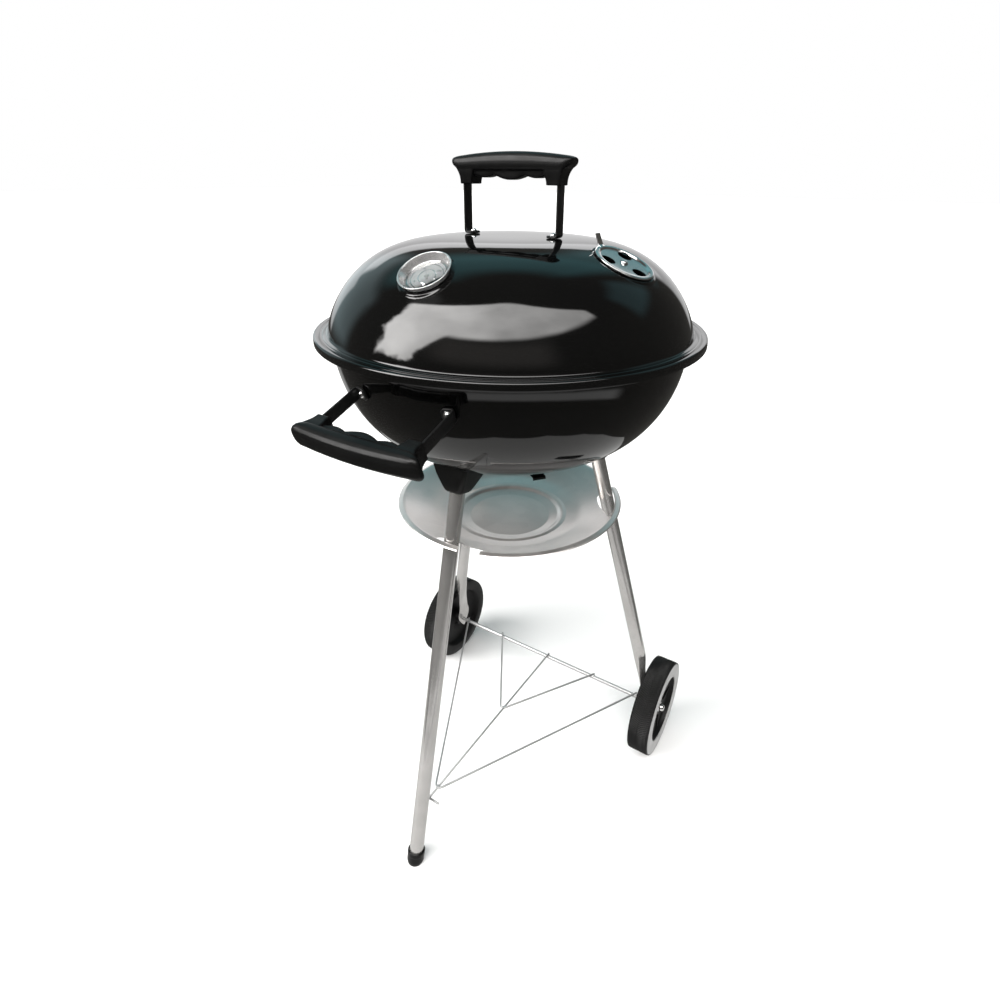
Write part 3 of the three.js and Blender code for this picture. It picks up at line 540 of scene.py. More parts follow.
def offset(points, distance):
    """A profile moved to its left by a distance."""
    made = []
    for i, (r, z) in enumerate(points):
        before, after = points[max(i - 1, 0)], points[min(i + 1, len(points) - 1)]
        along = Vector((after[0] - before[0], after[1] - before[1])).normalized()
        made.append((max(r - along.y * distance, 0) if r else 0, z + along.x * distance))
    return made


def on_shell(point, distance, azimuth):
    """A place on a shell at a distance from the axis, with the normal and the outward direction there."""
    low, high = 0.0, math.pi / 2
    for _ in range(60):
        middle = (low + high) / 2
        if point(middle)[0] > distance:
            low = middle
        else:
            high = middle
    here, after = point(low), point(low + 1e-4)
    slope = Vector((after[0] - here[0], after[1] - here[1])).normalized()
    facing = math.copysign(1, slope.y)
    side = Vector((math.cos(azimuth), math.sin(azimuth), 0))
    origin = side * here[0] + Vector((0, 0, here[1]))
    normal = side * slope.y * facing + Vector((0, 0, -slope.x * facing))
    return origin, normal, side


VENT_FRAME = frame_at(*on_shell(dome_point, 146.5, math.radians(-5.7)))
VENT_HOLE, VENT_CIRCLE = 8.0, 20.0
GAUGE_FRAME = frame_at(*on_shell(dome_point, 160, math.radians(-88.5))[:2], (1, 0, 0))
GAUGE_BORE = 22.9
BOWL_HOLE, BOWL_CIRCLE, BOWL_VENT_TURN = 15.0, 34.0, turn(math.radians(-38), "Z")


def smooth(value):
    value = min(max(value, 0.0), 1.0)
    return value * value * (3 - 2 * value)


# ---------- lid ----------
def press_seat(points, place, radius, rise):
    """Presses a flat round seat into the shell, `rise` above the shell's surface at its middle."""
    inverse = np.array(place.inverted())
    matrix = np.array(place)
    q = points @ inverse[:3, :3].T + inverse[:3, 3]
    distance = np.hypot(q[:, 0], q[:, 1])
    near = np.abs(q[:, 2]) < 40
    share = np.clip((distance - radius) / SEAT_EDGE, 0, 1)
    weight = np.where(near, 1 - share * share * (3 - 2 * share), 0)
    q[:, 2] = q[:, 2] * (1 - weight) + rise * weight
    return q @ matrix[:3, :3].T + matrix[:3, 3]


def lid_angles():
    """Angles round the lid, closer together near the vent and the thermometer."""
    angles, angle = [], 0.0
    while angle < 360 - 1e-6:
        angles.append(math.radians(angle))
        near = any(abs((angle - spot + 180) % 360 - 180) < reach for spot, reach in ((-6, 19), (-88.5, 15)))
        angle += 0.3125 if near else 1.25
    return angles


def lid_shell():
    wall = along_curve(dome_point, math.pi / 2 - 0.0001, 0.012, lambda r: 0.8 if 100 < r < 195 else 2.2)
    wall = [(0, wall[0][1])] + [p for p in wall[1:] if p[1] > 702.4]
    low, inside = FLANGE_TOP - FLANGE_LIP, FLANGE_RADIUS - SHEET
    rim = eased(
        [wall[-1], (FLANGE_FOOT, FLANGE_TOP, 3.2), (219.5, FLANGE_TOP), (220.3, FLANGE_TOP - 0.45, 0.8),
         (222.3, FLANGE_TOP - 0.45, 0.8), (223.1, FLANGE_TOP), (FLANGE_RADIUS, FLANGE_TOP, 2.6),
         (FLANGE_RADIUS, low, 0.6), (inside, low, 0.6), (inside, FLANGE_TOP - SHEET, 1.6),
         (FLANGE_FOOT - SHEET, FLANGE_TOP - SHEET, 3.2), (213.4 - SHEET, 703)], 5)
    outside = wall + rim[1:-1]
    angles = lid_angles()
    points, faces = revolve(outside + offset(wall, -SHEET)[::-1], angles=angles)
    points = np.array(points)
    outer = np.arange(len(points)) < sum(1 if r < 1e-6 else len(angles) for r, _ in outside)
    for place, radius, seat in ((VENT_FRAME, 34.7, VENT_SEAT), (GAUGE_FRAME, 28.0, GAUGE_SEAT)):
        up = press_seat(points, place, radius, seat)
        down = press_seat(points, place, radius, seat - SHEET)
        points = np.where(outer[:, None], up, down)
    lid = bare("lid", (points.tolist(), faces))
    bore = placed(rod(GAUGE_BORE, -20, 20, 0, 96), GAUGE_FRAME)
    cut(lid, joined(holes(3, VENT_HOLE, VENT_CIRCLE, VENT_FRAME, reach=20, sides=48), bore))
    finish(lid, "lid", ENAMEL, ["lid_shell"], 50)


lid_shell()


# ---------- bowl ----------
def bowl_shell():
    wall = along_curve(bowl_point, math.pi / 2 - 0.0001, 0.03, lambda r: 2.0)
    wall = [(0, wall[0][1])] + [p for p in wall[1:] if p[1] < 684]
    top = FLANGE_TOP - SHEET - GAP
    rim = eased(
        [wall[-1], (BOWL_NECK, 688.6, 1.2), (BOWL_COLLAR, 690.4, 1.2), (BOWL_COLLAR, top - SHEET, 1.5),
         (BOWL_LIP, top - SHEET, 0.5), (BOWL_LIP, top, 0.5), (BOWL_COLLAR - SHEET, top, 1.5),
         (BOWL_COLLAR - SHEET, 690.8, 1.2), (BOWL_NECK - SHEET, 689, 1.2),
         (wall[-1][0] - SHEET, wall[-1][1])], 4)
    bowl = bare("bowl", revolve(wall + rim[1:-1] + offset(wall, SHEET)[::-1], 288))
    base = BOWL_BASE - BOWL_DEPTH
    place = BOWL_VENT_TURN @ turn(TURN / 6, "Z") @ shift(0, 0, base)
    cut(bowl, holes(3, BOWL_HOLE, BOWL_CIRCLE, place, reach=20, sides=48))
    finish(bowl, "stand", ENAMEL, ["bowl_shell"], 50)


bowl_shell()


# ---------- handles ----------
HALF_GRIP, GRIP_HEIGHT, GRIP_DEPTH = 77.0, 33.5, 26.0
GRIP_END, GRIP_CROWN, GRIP_UNDER, UNDER_RISE = 9.0, 5.5, 14.0, 6.5
LOBE_ROOT, MIDDLE_LOBE, SIDE_LOBE, MIDDLE_HALF, SIDE_WIDTH = 9.7, 5.0, 3.0, 20.0, 27.0
ARM_INSIDE, ARM_OUTSIDE, ARM_DEPTH, ARM_HEIGHT = 48.0, 64.5, 21.0, 21.0
STRAP_OUTSIDE, STRAP_WIDTH, STRAP_THICKNESS, STRAP_FOOT, STAND_OFF, TUCK = 62.3, 14.0, 2.5, 15.0, 53.8, 13.0
BOLT_OFFSET, BOLT_SHANK, TIP_LENGTH, NUT_DROP = 53.5, 2.5, 3.8, 5.2


def lobes(across):
    """Height of the lobed web's lower edge above the arms' ends."""
    if across < MIDDLE_HALF:
        return LOBE_ROOT - MIDDLE_LOBE * math.cos(math.pi / 2 * across / MIDDLE_HALF)
    return LOBE_ROOT - SIDE_LOBE * math.sin(math.pi * min((across - MIDDLE_HALF) / SIDE_WIDTH, 1))


def squared(angle, power):
    c, s = math.cos(angle), math.sin(angle)
    return math.copysign(abs(c) ** power, c), math.copysign(abs(s) ** power, s)


def grip_bar():
    """A bar with a crowned top, full shoulders and a flat underside that rises at the ends."""
    section = [(0.0, 1.0), (0.42, 0.985), (0.72, 0.9), (0.91, 0.74), (0.99, 0.52), (1.0, 0.34), (0.97, 0.18),
               (0.88, 0.06), (0.7, 0.0)]
    outline = section + [(-a, b) for a, b in section[:0:-1]]
    rings = []
    steps = 120
    for i in range(steps + 1):
        x = HALF_GRIP * math.sin(math.pi / 2 * (2 * i / steps - 1))
        near = max(0.0, (abs(x) - HALF_GRIP) / GRIP_END + 1)
        ease = math.sqrt(max(1 - 0.92 * near**2.4, 0.02))
        top = GRIP_HEIGHT - GRIP_CROWN * (x / HALF_GRIP) ** 2
        flare = max(0.0, (abs(x) - ARM_OUTSIDE + 4) / (HALF_GRIP - ARM_OUTSIDE + 4))
        under = GRIP_UNDER + UNDER_RISE * flare**1.5
        middle = (top + under) / 2 + 1.0
        half, share = GRIP_DEPTH / 2 * (0.3 + 0.7 * ease), 0.4 + 0.6 * ease
        heights = [middle + (under + (top - under) * b - middle) * share for _, b in outline]
        rings.append([(x, half * a, z) for (a, _), z in zip(outline, heights)])
    return loft(rings)


def grip_web():
    """The web with the finger lobes, between the arms."""
    rings = []
    for i in range(81):
        x = -50 + 100 * i / 80
        low = lobes(abs(x))
        corners = [(-8.6, low, 2.6), (8.6, low, 2.6), (9.2, 20), (-9.2, 20)]
        rings.append([(x, y, z) for y, z in eased(corners, 5, closed=True)])
    return loft(rings)


def grip_arm(side):
    """An arm that flares out to the bar's end."""
    rings = []
    for i in range(13):
        z = ARM_HEIGHT * i / 12
        out = ARM_OUTSIDE + 9.5 * (max(z - 3, 0) / 18) ** 2.4
        inner = ARM_INSIDE - 2.5 * smooth((z - 3) / 10)
        depth = ARM_DEPTH / 2 + 1.6 * smooth(z / 16)
        corners = [(inner, -depth, 1.2), (out, -depth, 2.2), (out, depth, 2.2), (inner, depth, 1.2)]
        rings.append([(side * x, y, z) for x, y in eased(corners, 3, closed=True)])
    return loft(rings)


def grip(name, place, body):
    shape = placed(joined(grip_bar(), grip_web(), grip_arm(-1), grip_arm(1)), place, shift(0, 0, STAND_OFF))
    piece = bare(name + "_moulding", shape)
    remesh(piece, 0.75, 5)
    finish(piece, body, PLASTIC, [name], 60)


def strap(width, foot_angle):
    """A strap on the +X side, with its foot bent inwards."""
    middle = STRAP_OUTSIDE - STRAP_THICKNESS / 2
    slope = math.tan(foot_angle)
    sole = STRAP_THICKNESS / 2 / math.cos(foot_angle)
    tip = STRAP_OUTSIDE - STRAP_FOOT
    heel = (STRAP_OUTSIDE - middle) * slope + sole
    path = eased([(tip, STRAP_FOOT * slope + sole), (middle, heel, 2.8), (middle, STAND_OFF + TUCK)], 8)
    first = Vector(path[0])
    ahead = (Vector(path[1]) - first).normalized()
    rounded = [0.0, 0.3, 1.0, 2.2, TIP_LENGTH]

    def section(i):
        share = math.sqrt(0.3 + 0.7 * rounded[i] / TIP_LENGTH) if i < len(rounded) else 1.0
        return rectangle(STRAP_THICKNESS / 2, width / 2 * share, 0.7)

    return ribbon([tuple(first + ahead * d) for d in rounded] + path[1:], section)


def dome_bolt():
    """A bolt head on a washer, standing on z = 0."""
    washer = tube_ring(2.0, 4.6, 0.0, 0.5, 0.15, 40)
    crown = revolve([(0, 2.9), (1.2, 2.8), (2.4, 2.35), (3.2, 1.6), (3.5, 0.8), (3.4, 0.5), (0, 0.5)], 40)
    return joined(washer, crown)


def lock_nut(top):
    return joined(hexagon(7.0, top - 4, top), tube_ring(1.8, 2.9, top - 5.2, top - 3.8, 0.3, 32))


def handle(name, place, foot_angle, body):
    """A grip on two straps, each bolted through the shell under its foot."""
    grip(name + "_grip", place, body)
    rise = (STRAP_OUTSIDE - BOLT_OFFSET) * math.tan(foot_angle)
    for side, word in ((-1, "left"), (1, "right")):
        mirror = Matrix.Diagonal((side, 1, 1, 1))
        at = place @ mirror @ shift(BOLT_OFFSET, 0, rise) @ turn(foot_angle, "Y")
        node = name + "_strap_" + word
        make(node, placed(strap(STRAP_WIDTH, foot_angle), place, mirror), body, PAINTED, [node], 50)
        node = name + "_bolt_" + word
        head = placed(dome_bolt(), shift(0, 0, STRAP_THICKNESS + 0.1))
        make(node, placed(joined(head, rod(BOLT_SHANK, -10, 3, 0.3, 24)), at), body, CHROME, [node])
        node = name + "_nut_" + word
        make(node, placed(lock_nut(-NUT_DROP), at), body, CHROME, [node])


LID_HANDLE = shift(0, 0, on_shell(dome_point, STRAP_OUTSIDE, 0)[0].z + GAP)
handle("lid_handle", LID_HANDLE, math.radians(1.5), "lid")


def bowl_radius(height):
    return bowl_point(math.asin(((BOWL_BASE - height) / BOWL_DEPTH) ** (BOWL_FLOOR / 2)))[0]


SIDE_HEIGHT, SIDE_TILT, SIDE_TURN = 659.4, math.radians(18.8), math.radians(1.2)
SIDE_RADIUS = bowl_radius(SIDE_HEIGHT)


def side_frame():
    """The side handle's frame and the angle of its straps' feet, which lie on the bowl's round wall."""
    def wall(x):
        return math.sqrt(SIDE_RADIUS**2 - x**2)

    foot = math.atan((wall(STRAP_OUTSIDE - STRAP_FOOT) - wall(STRAP_OUTSIDE)) / STRAP_FOOT)
    normal = Vector((0, -math.cos(SIDE_TILT), -math.sin(SIDE_TILT)))
    shell = on_shell(bowl_point, SIDE_RADIUS, -math.pi / 2)[1]
    gap = 0.5 + STRAP_WIDTH / 2 * math.sin(normal.angle(shell))
    origin = Vector((0, -wall(STRAP_OUTSIDE), SIDE_HEIGHT)) + normal * gap
    return turn(SIDE_TURN, "Z") @ frame_at(origin, normal, (1, 0, 0)), foot


SIDE_FRAME, SIDE_FOOT = side_frame()
handle("side_handle", SIDE_FRAME, SIDE_FOOT, "stand")


# ---------- thermometer ----------
DIAL_TOP, CUP_FLOOR, SCALE_SWEEP = -3.0, -4.4, 270


def on_lid(name, shape, look, nodes=(), sharp=35):
    make(name, placed(shape, GAUGE_FRAME), "lid", look, nodes, sharp)


def scale_number(number, angle):
    """A number on the dial, upright at its place."""
    name = "thermometer_number_" + number
    curve = bpy.data.curves.new(name, "FONT")
    curve.body, curve.size, curve.extrude = number, 3.2, 0.04
    curve.align_x, curve.align_y = "CENTER", "CENTER"
    text = bpy.data.objects.new("text", curve)
    bpy.context.scene.collection.objects.link(text)
    mesh = bpy.data.meshes.new_from_object(text.evaluated_get(bpy.context.evaluated_depsgraph_get()))
    bpy.data.objects.remove(text)
    upright = turn(angle, "Z") @ shift(0, 12.4, DIAL_TOP + 0.05) @ turn(-angle, "Z")
    mesh.transform(KETTLE @ GAUGE_FRAME @ upright)
    work = bmesh.new()
    work.from_mesh(mesh)
    bmesh.ops.remove_doubles(work, verts=work.verts, dist=0.000002)
    work.to_mesh(mesh)
    work.free()
    piece = bpy.data.objects.new(name, mesh)
    bpy.context.scene.collection.objects.link(piece)
    finish(piece, "lid", INK)


def dial():
    face = tube_ring(1.5, 20.8, DIAL_TOP - 0.8, DIAL_TOP, 0.1, 96)
    on_lid("thermometer_face", face, DIAL, ["thermometer_dial"])
    edge = raised([(19.3, 0), (19.5, 1.3, 0.4), (20.6, 1.3, 0.4), (20.9, 0)], DIAL_TOP)
    rings = [revolve(eased(edge, 4, closed=True), 96, loop=True)]
    line = ((0, 0), (0.2, 0.25), (0.6, 0.25), (0.8, 0))
    rings += [revolve([(radius + r, DIAL_TOP + z) for r, z in line], 96, loop=True) for radius in (8.2, 15.6)]
    on_lid("thermometer_dial_rings", joined(*rings), CHROME)
    ticks = []
    count, outer = 30, 18.7
    for i in range(count + 1):
        length = 2.4 if i % 5 == 0 else 1.4
        tick = box((0.36, length, 0.08), (0, outer - length / 2, DIAL_TOP + 0.04), 0.03)
        ticks.append(placed(tick, turn(math.radians(SCALE_SWEEP * (0.5 - i / count)), "Z")))
    on_lid("thermometer_ticks", joined(*ticks), INK)
    for i, number in enumerate(("0", "100", "200", "300")):
        scale_number(number, math.radians(SCALE_SWEEP * (0.5 - i / 3)))


def needle():
    height = DIAL_TOP + 0.5
    outline = [(0, 17.0), (-0.35, 9), (-0.8, 0), (-1.1, -5.0), (1.1, -5.0), (0.8, 0), (0.35, 9)]
    pointer = placed(plate(outline, 0.3, 0.08), turn(math.radians(35), "Z"), shift(0, 0, height))
    hub = revolve(raised([(0, 0.9), (1.2, 0.85), (2.0, 0.6), (2.4, 0.2), (2.4, -0.2), (0, -0.2)], height), 40)
    shape = placed(joined(pointer, hub, rod(1.1, DIAL_TOP - 0.6, height + 0.1, 0.1, 24)), GAUGE_FRAME)
    make("thermometer_needle", shape, "thermometer_pointer", POINTER, ["thermometer_pointer"])


def thermometer():
    base, seat = CUP_FLOOR - 1.2, GAUGE_SEAT + GAP
    cup = eased(
        [(3.4, base), (22.6, base, 0.8), (22.6, seat), (24.6, seat, 0.4), (26.6, 3.2, 1.5), (27.5, 4.3, 0.6),
         (27.3, 5.1, 0.5), (26.3, 5.1, 0.5), (25.4, 3.9, 1.2), (21.7, -1.9, 0.5), (21.3, -2.4, 0.3),
         (21.3, CUP_FLOOR), (3.4, CUP_FLOOR)], 5)
    on_lid("thermometer_cup", revolve(cup, 160, loop=True), SATIN, ["thermometer_bezel"], 50)
    dial()
    needle()
    low = DIAL_TOP + 1.6
    lens = revolve(eased([(0, low), (21.0, low, 0.2), (21.0, low + 0.7, 0.2), (0, low + 1.0)], 3), 96)
    on_lid("thermometer_glass", lens, GLASS, ["thermometer_lens"])
    tip = revolve([(0, -55), (1.8, -54.6), (2.9, -53.4), (3.1, -52.4), (0, -52.4)], 32)
    stem = joined(rod(3.1, -53, CUP_FLOOR + 0.2, 0.8, 32), tip)
    on_lid("thermometer_probe", stem, CHROME, ["thermometer_stem"])
    top = GAUGE_SEAT - SHEET - GAP
    nut = tube_ring(GAUGE_BORE, 26.6, top - 4, top, 0.5, 96)
    on_lid("thermometer_ring_nut", nut, CHROME, ["thermometer_nut"])


thermometer()


# ---------- lid vent ----------
def lid_vent():
    low = VENT_SEAT + GAP
    high = low + 0.9
    corners = [(0, 0), (26.6, 0, 1.6), (28.6, 1.9, 1.0), (31.6, 2.1, 0.8), (33.0, 1.6, 0.6), (33.0, 0.1, 0.2),
               (32.3, 0.1, 0.2), (32.2, 1.2, 0.6), (29.2, 1.2, 1.0), (27.4, low - high, 1.4), (0, low - high)]
    disc = revolve(eased(raised(corners, high), 5), 192)
    piece = bare("lid_vent_disc", placed(disc, VENT_FRAME))
    cut(piece, holes(3, VENT_HOLE, VENT_CIRCLE, VENT_FRAME))
    finish(piece, "lid_vent_damper", VENT, ["lid_vent_damper"], 30)
    path = eased([(-29.6, high + 1.7), (-32.4, high + 1.8, 2.0), (-41.7, high + 10.2)], 5)
    tab = ribbon(path, lambda i: rectangle(0.5, 5.0 - 0.5 * i / (len(path) - 1), 0.3, 2))
    make("lid_vent_tab", placed(tab, VENT_FRAME), "lid_vent_damper", VENT, sharp=50)
    under = VENT_SEAT - SHEET - 0.2
    crown = raised([(0, 2.7), (1.4, 2.6), (2.9, 2.0), (3.9, 1.1), (4.2, 0.2), (2.2, 0.15)], high)
    tail = raised([(2.2, 0), (4.0, 0), (4.0, -0.8), (2.4, -1.5), (0, -1.6)], under)
    make("lid_vent_pin", placed(revolve(crown + tail, 40), VENT_FRAME), "lid", CHROME, ["lid_vent_rivet"])


lid_vent()


# ---------- legs, sockets and foot ----------
TUBE_RADIUS, SOCKET_DEPTH = 9.5, 21.5
LEG_TOP_RADIUS, LEG_TOP_HEIGHT = 116.4, 520.4
WHEEL_RADIUS, AXLE_REACH, FOOT_RADIUS = 75.0, 231.6, 237.5
REAR = math.radians(32.3)
AXLE_Y = AXLE_REACH * math.sin(REAR)
PADDLE_X = 181.5
REAR_SPLAY = (AXLE_REACH - LEG_TOP_RADIUS) / (LEG_TOP_HEIGHT - WHEEL_RADIUS)
# Each leg's azimuth and its splay, as run over drop.
LEGS = {
    "front": (-math.pi / 2, (FOOT_RADIUS - LEG_TOP_RADIUS) / LEG_TOP_HEIGHT),
    "right": (REAR, REAR_SPLAY),
    "left": (math.pi - REAR, REAR_SPLAY),
}


def leg_radius(name, height):
    return LEG_TOP_RADIUS + (LEG_TOP_HEIGHT - height) * LEGS[name][1]


def on_leg(name, height):
    return Vector(polar(leg_radius(name, height), LEGS[name][0], height))


def leg_frame(name, height=LEG_TOP_HEIGHT):
    """A frame on a leg's axis, with +Z up along the leg."""
    along = on_leg(name, LEG_TOP_HEIGHT) - on_leg(name, 0)
    return frame_at(on_leg(name, height), along, polar(1, LEGS[name][0]))


def socket(name):
    """A block that holds the tube and follows the bowl at its top."""
    place = leg_frame(name)

    def on_bowl(x, y):
        low, high = 0.0, 70.0
        for _ in range(40):
            z = (low + high) / 2
            p = place @ Vector((x, y, z))
            shell = bowl_radius(p.z) if BOWL_BASE - BOWL_DEPTH < p.z < BOWL_BASE else 0.0
            if math.hypot(p.x, p.y) < shell:
                high = z
            else:
                low = z
        return low - 0.4

    heights = [(0.0, 10.6, 5.0), (0.5, 11.6, 5.6), (1.8, 12.8, 6.0), (4.0, 14.0, 6.2), (8.0, 15.8, 6.0),
               (14.0, 18.2, 5.6), (22.0, 21.2, 5.0), (30.0, 23.4, 4.6), (60.0, 24.0, 4.4)]
    rings = []
    for z, half, ease in heights:
        rings.append([(x, y, min(z, on_bowl(x, y))) for x, y in rectangle(half, half, ease, 12)])
    body = bare("leg_socket_block_" + name, placed(loft(rings), place))
    cut(body, placed(rod(TUBE_RADIUS + 0.2, -3, 22, 0), place))
    finish(body, "stand", PLASTIC, ["leg_socket_" + name], 40)
    spot = on_shell(bowl_point, leg_radius(name, LEG_TOP_HEIGHT + 30), LEGS[name][0])
    at = frame_at(spot[0], -spot[1], spot[2])
    shape = placed(joined(rod(BOLT_SHANK, -8, 3, 0.3, 24), placed(dome_bolt(), shift(0, 0, 1.6))), at)
    make("leg_socket_bolt_" + name, shape, "stand", CHROME, ["leg_socket_bolt_" + name])


def front_leg():
    bottom = (on_leg("front", LEG_TOP_HEIGHT) - on_leg("front", 7)).length
    tube = tube_ring(TUBE_RADIUS - 1, TUBE_RADIUS, -bottom, SOCKET_DEPTH, 0.3, 96)
    make("leg_front", placed(tube, leg_frame("front")), "stand", TUBE, ["leg_front"], 40)
    inside = TUBE_RADIUS + 0.2
    cap = revolve(eased(
        [(0, -2.5), (8.6, -2.5), (10.2, -1.2, 2.0), (11.3, 3.5, 3.0), (11.3, 12.5, 0.5), (11.6, 13.1, 0.3),
         (11.6, 18.2, 0.8), (10.6, 19.0, 0.6), (inside, 19.0, 0.3), (inside, 5), (0, 5)], 5), 96)
    points, faces = placed(cap, leg_frame("front", 0))
    points = [(x, y, max(z, 0.0)) for x, y, z in points]
    make("foot_cap", (points, faces), "stand", PLASTIC, ["foot_cap"], 50)


def rear_leg(name):
    """A tube that is flattened at its foot into an upright paddle for the axle."""
    azimuth = LEGS[name][0]
    x = math.copysign(PADDLE_X, math.cos(azimuth))
    around = [TURN * k / 64 + azimuth for k in range(64)]
    pinch_top, pinch_end = WHEEL_RADIUS + 106, WHEEL_RADIUS + 34

    def circle(height, rise=0.0):
        place = leg_frame(name, height) @ turn(-azimuth, "Z")
        return [place @ Vector(polar(TUBE_RADIUS, a, rise)) for a in around]

    def oval(height, thin, half, power):
        corners = [squared(a, power) for a in around]
        return [Vector((x + thin * c, AXLE_Y + half * s, height)) for c, s in corners]

    rings = [circle(LEG_TOP_HEIGHT, SOCKET_DEPTH)]
    rings += [circle(height) for height in (500, 420, 340, 260, 200, pinch_top)]
    last, flat = rings[-1], oval(pinch_end, 2.2, 11.8, 0.9)
    start, end = on_leg(name, pinch_top), Vector((x, AXLE_Y, pinch_end))
    steps = 18
    for i in range(1, steps):
        centre, blend = start.lerp(end, i / steps), smooth(i / steps)
        rings.append([centre + (a - start).lerp(b - end, blend) for a, b in zip(last, flat)])
    rings.append(flat)
    for height, thin, half, power in ((27, 1.6, 12.6, 0.8), (19, 1.35, 15.2, 0.6), (12, 1.3, 16.0, 0.6),
                                      (4, 1.3, 13.8, 0.6), (-4, 1.3, 8.6, 0.6), (-10, 1.25, 4.0, 0.6),
                                      (-13, 1.0, 1.4, 0.7)):
        rings.append(oval(WHEEL_RADIUS + height, thin, half, power))
    finish(bare("leg_tube_" + name, loft(rings)), "stand", TUBE, ["leg_" + name], 50)


for leg_name in LEGS:
    socket(leg_name)
front_leg()
rear_leg("right")
rear_leg("left")


# ---------- axle and wheels ----------
WHEEL_X, WHEEL_WIDTH, AXLE_RADIUS = 203.0, 33.0, 3.0
TREAD_HALF, TREAD_RIBS, STEPS_PER_RIB = WHEEL_WIDTH / 2 - 1.6, 150, 8


def across(side=1):
    """The axle's frame: +Z along it, to the right or to the left side."""
    place = shift(0, AXLE_Y, WHEEL_RADIUS) @ turn(math.pi / 2, "Y")
    return place if side > 0 else place @ turn(math.pi, "X")


def tread_ring(count):
    """The tyre's running face, with fine ribs in a V about a groove in the middle: (points, rows)."""
    columns, depth = 17, 1.2
    points, rows = [], []
    for j in range(columns):
        z = TREAD_HALF * (2 * j / (columns - 1) - 1)
        crest = WHEEL_RADIUS - 0.1 - (0.45 if abs(z) < 0.4 else 0.0)
        rows.append(range(len(points), len(points) + count))
        for i in range(count):
            rib = smooth(0.45 - 1.2 * math.cos(TURN * (i / STEPS_PER_RIB + abs(z) * 0.105)))
            sunk = depth if j in (0, columns - 1) else depth * rib
            points.append(polar(crest - sunk, TURN * i / count, z))
    return points, rows


def wheel(side, word):
    place = across(side) @ shift(0, 0, WHEEL_X)
    count = TREAD_RIBS * STEPS_PER_RIB
    points, rows = tread_ring(count)
    width, half = WHEEL_WIDTH / 2, TREAD_HALF

    def add(profile):
        for r, z in profile:
            rows.append(range(len(points), len(points) + count))
            points.extend(polar(r, TURN * i / count, z) for i in range(count))

    add([(74.6, half + 0.5)])
    add(raised([(74.2, -0.6), (73.4, -0.15), (72.8, -0.1), (72.6, -1.2), (51.6, -1.2), (50.8, -1.6),
                (49.8, -7.5), (48.6, -8.6), (30, -9.4), (18, -9.6), (16.6, -9.0), (14.5, -8.2), (9.5, -8.2),
                (8.6, -8.8), (3.3, -9)], width))
    add(raised([(3.3, 0.3), (13, 0.3), (14, 6), (20, 11), (50, 11), (54, 8), (56, 0.6), (57, 0), (72.4, 0),
                (74.0, 0.5)], -width))
    add([(74.6, -half - 0.5)])
    shape = placed((points, skin(rows, loop=True)), place)
    make("wheel_" + word, shape, "wheel_" + word, TYRE, ["wheel_" + word], 50)
    rib = box((30, 1.8, 3.4), (33, 0, width - 8.4), 0.5)
    ribs = [placed(rib, place, turn(TURN * k / 8, "Z")) for k in range(8)]
    make("wheel_ribs_" + word, joined(*ribs), "wheel_" + word, TYRE)
    corners = [(51.8, -1.4), (51.9, 0.2, 0.5), (54.4, 0.3, 0.6), (55.2, -0.2, 0.5), (64.5, -0.15),
               (70.2, -0.15, 0.5), (71.0, 0.15, 0.5), (72.5, 0.1, 0.4), (72.6, -1.4)]
    trim = revolve(eased(raised(corners, width), 4, closed=True), 160, loop=True)
    make("wheel_ring_" + word, placed(trim, place), "wheel_" + word, RING, ["wheel_ring_" + word])
    corners = [(0, 8.4), (3.6, 8.0, 1.0), (5.2, 6.0, 1.4), (5.9, 3.4, 1.0), (5.9, 1.6, 0.3), (8.0, 1.0, 0.6),
               (8.2, 0.1, 0.2), (0, 0.1)]
    nut = revolve(eased(raised(corners, WHEEL_X + width - 8.1), 5), 64)
    make("axle_nut_" + word, placed(nut, across(side)), "stand", CHROME, ["axle_nut_" + word], 50)
    spacer = tube_ring(AXLE_RADIUS + 0.2, 6.8, PADDLE_X + 1.6, WHEEL_X - width - 0.1, 0.3)
    make("axle_spacer_" + word, placed(spacer, across(side)), "stand", TUBE, ["axle_spacer_" + word])


make("axle", placed(rod(AXLE_RADIUS, -212.5, 212.5, 0.6, 48), across()), "stand", WIRE, ["axle"])
wheel(1, "right")
wheel(-1, "left")


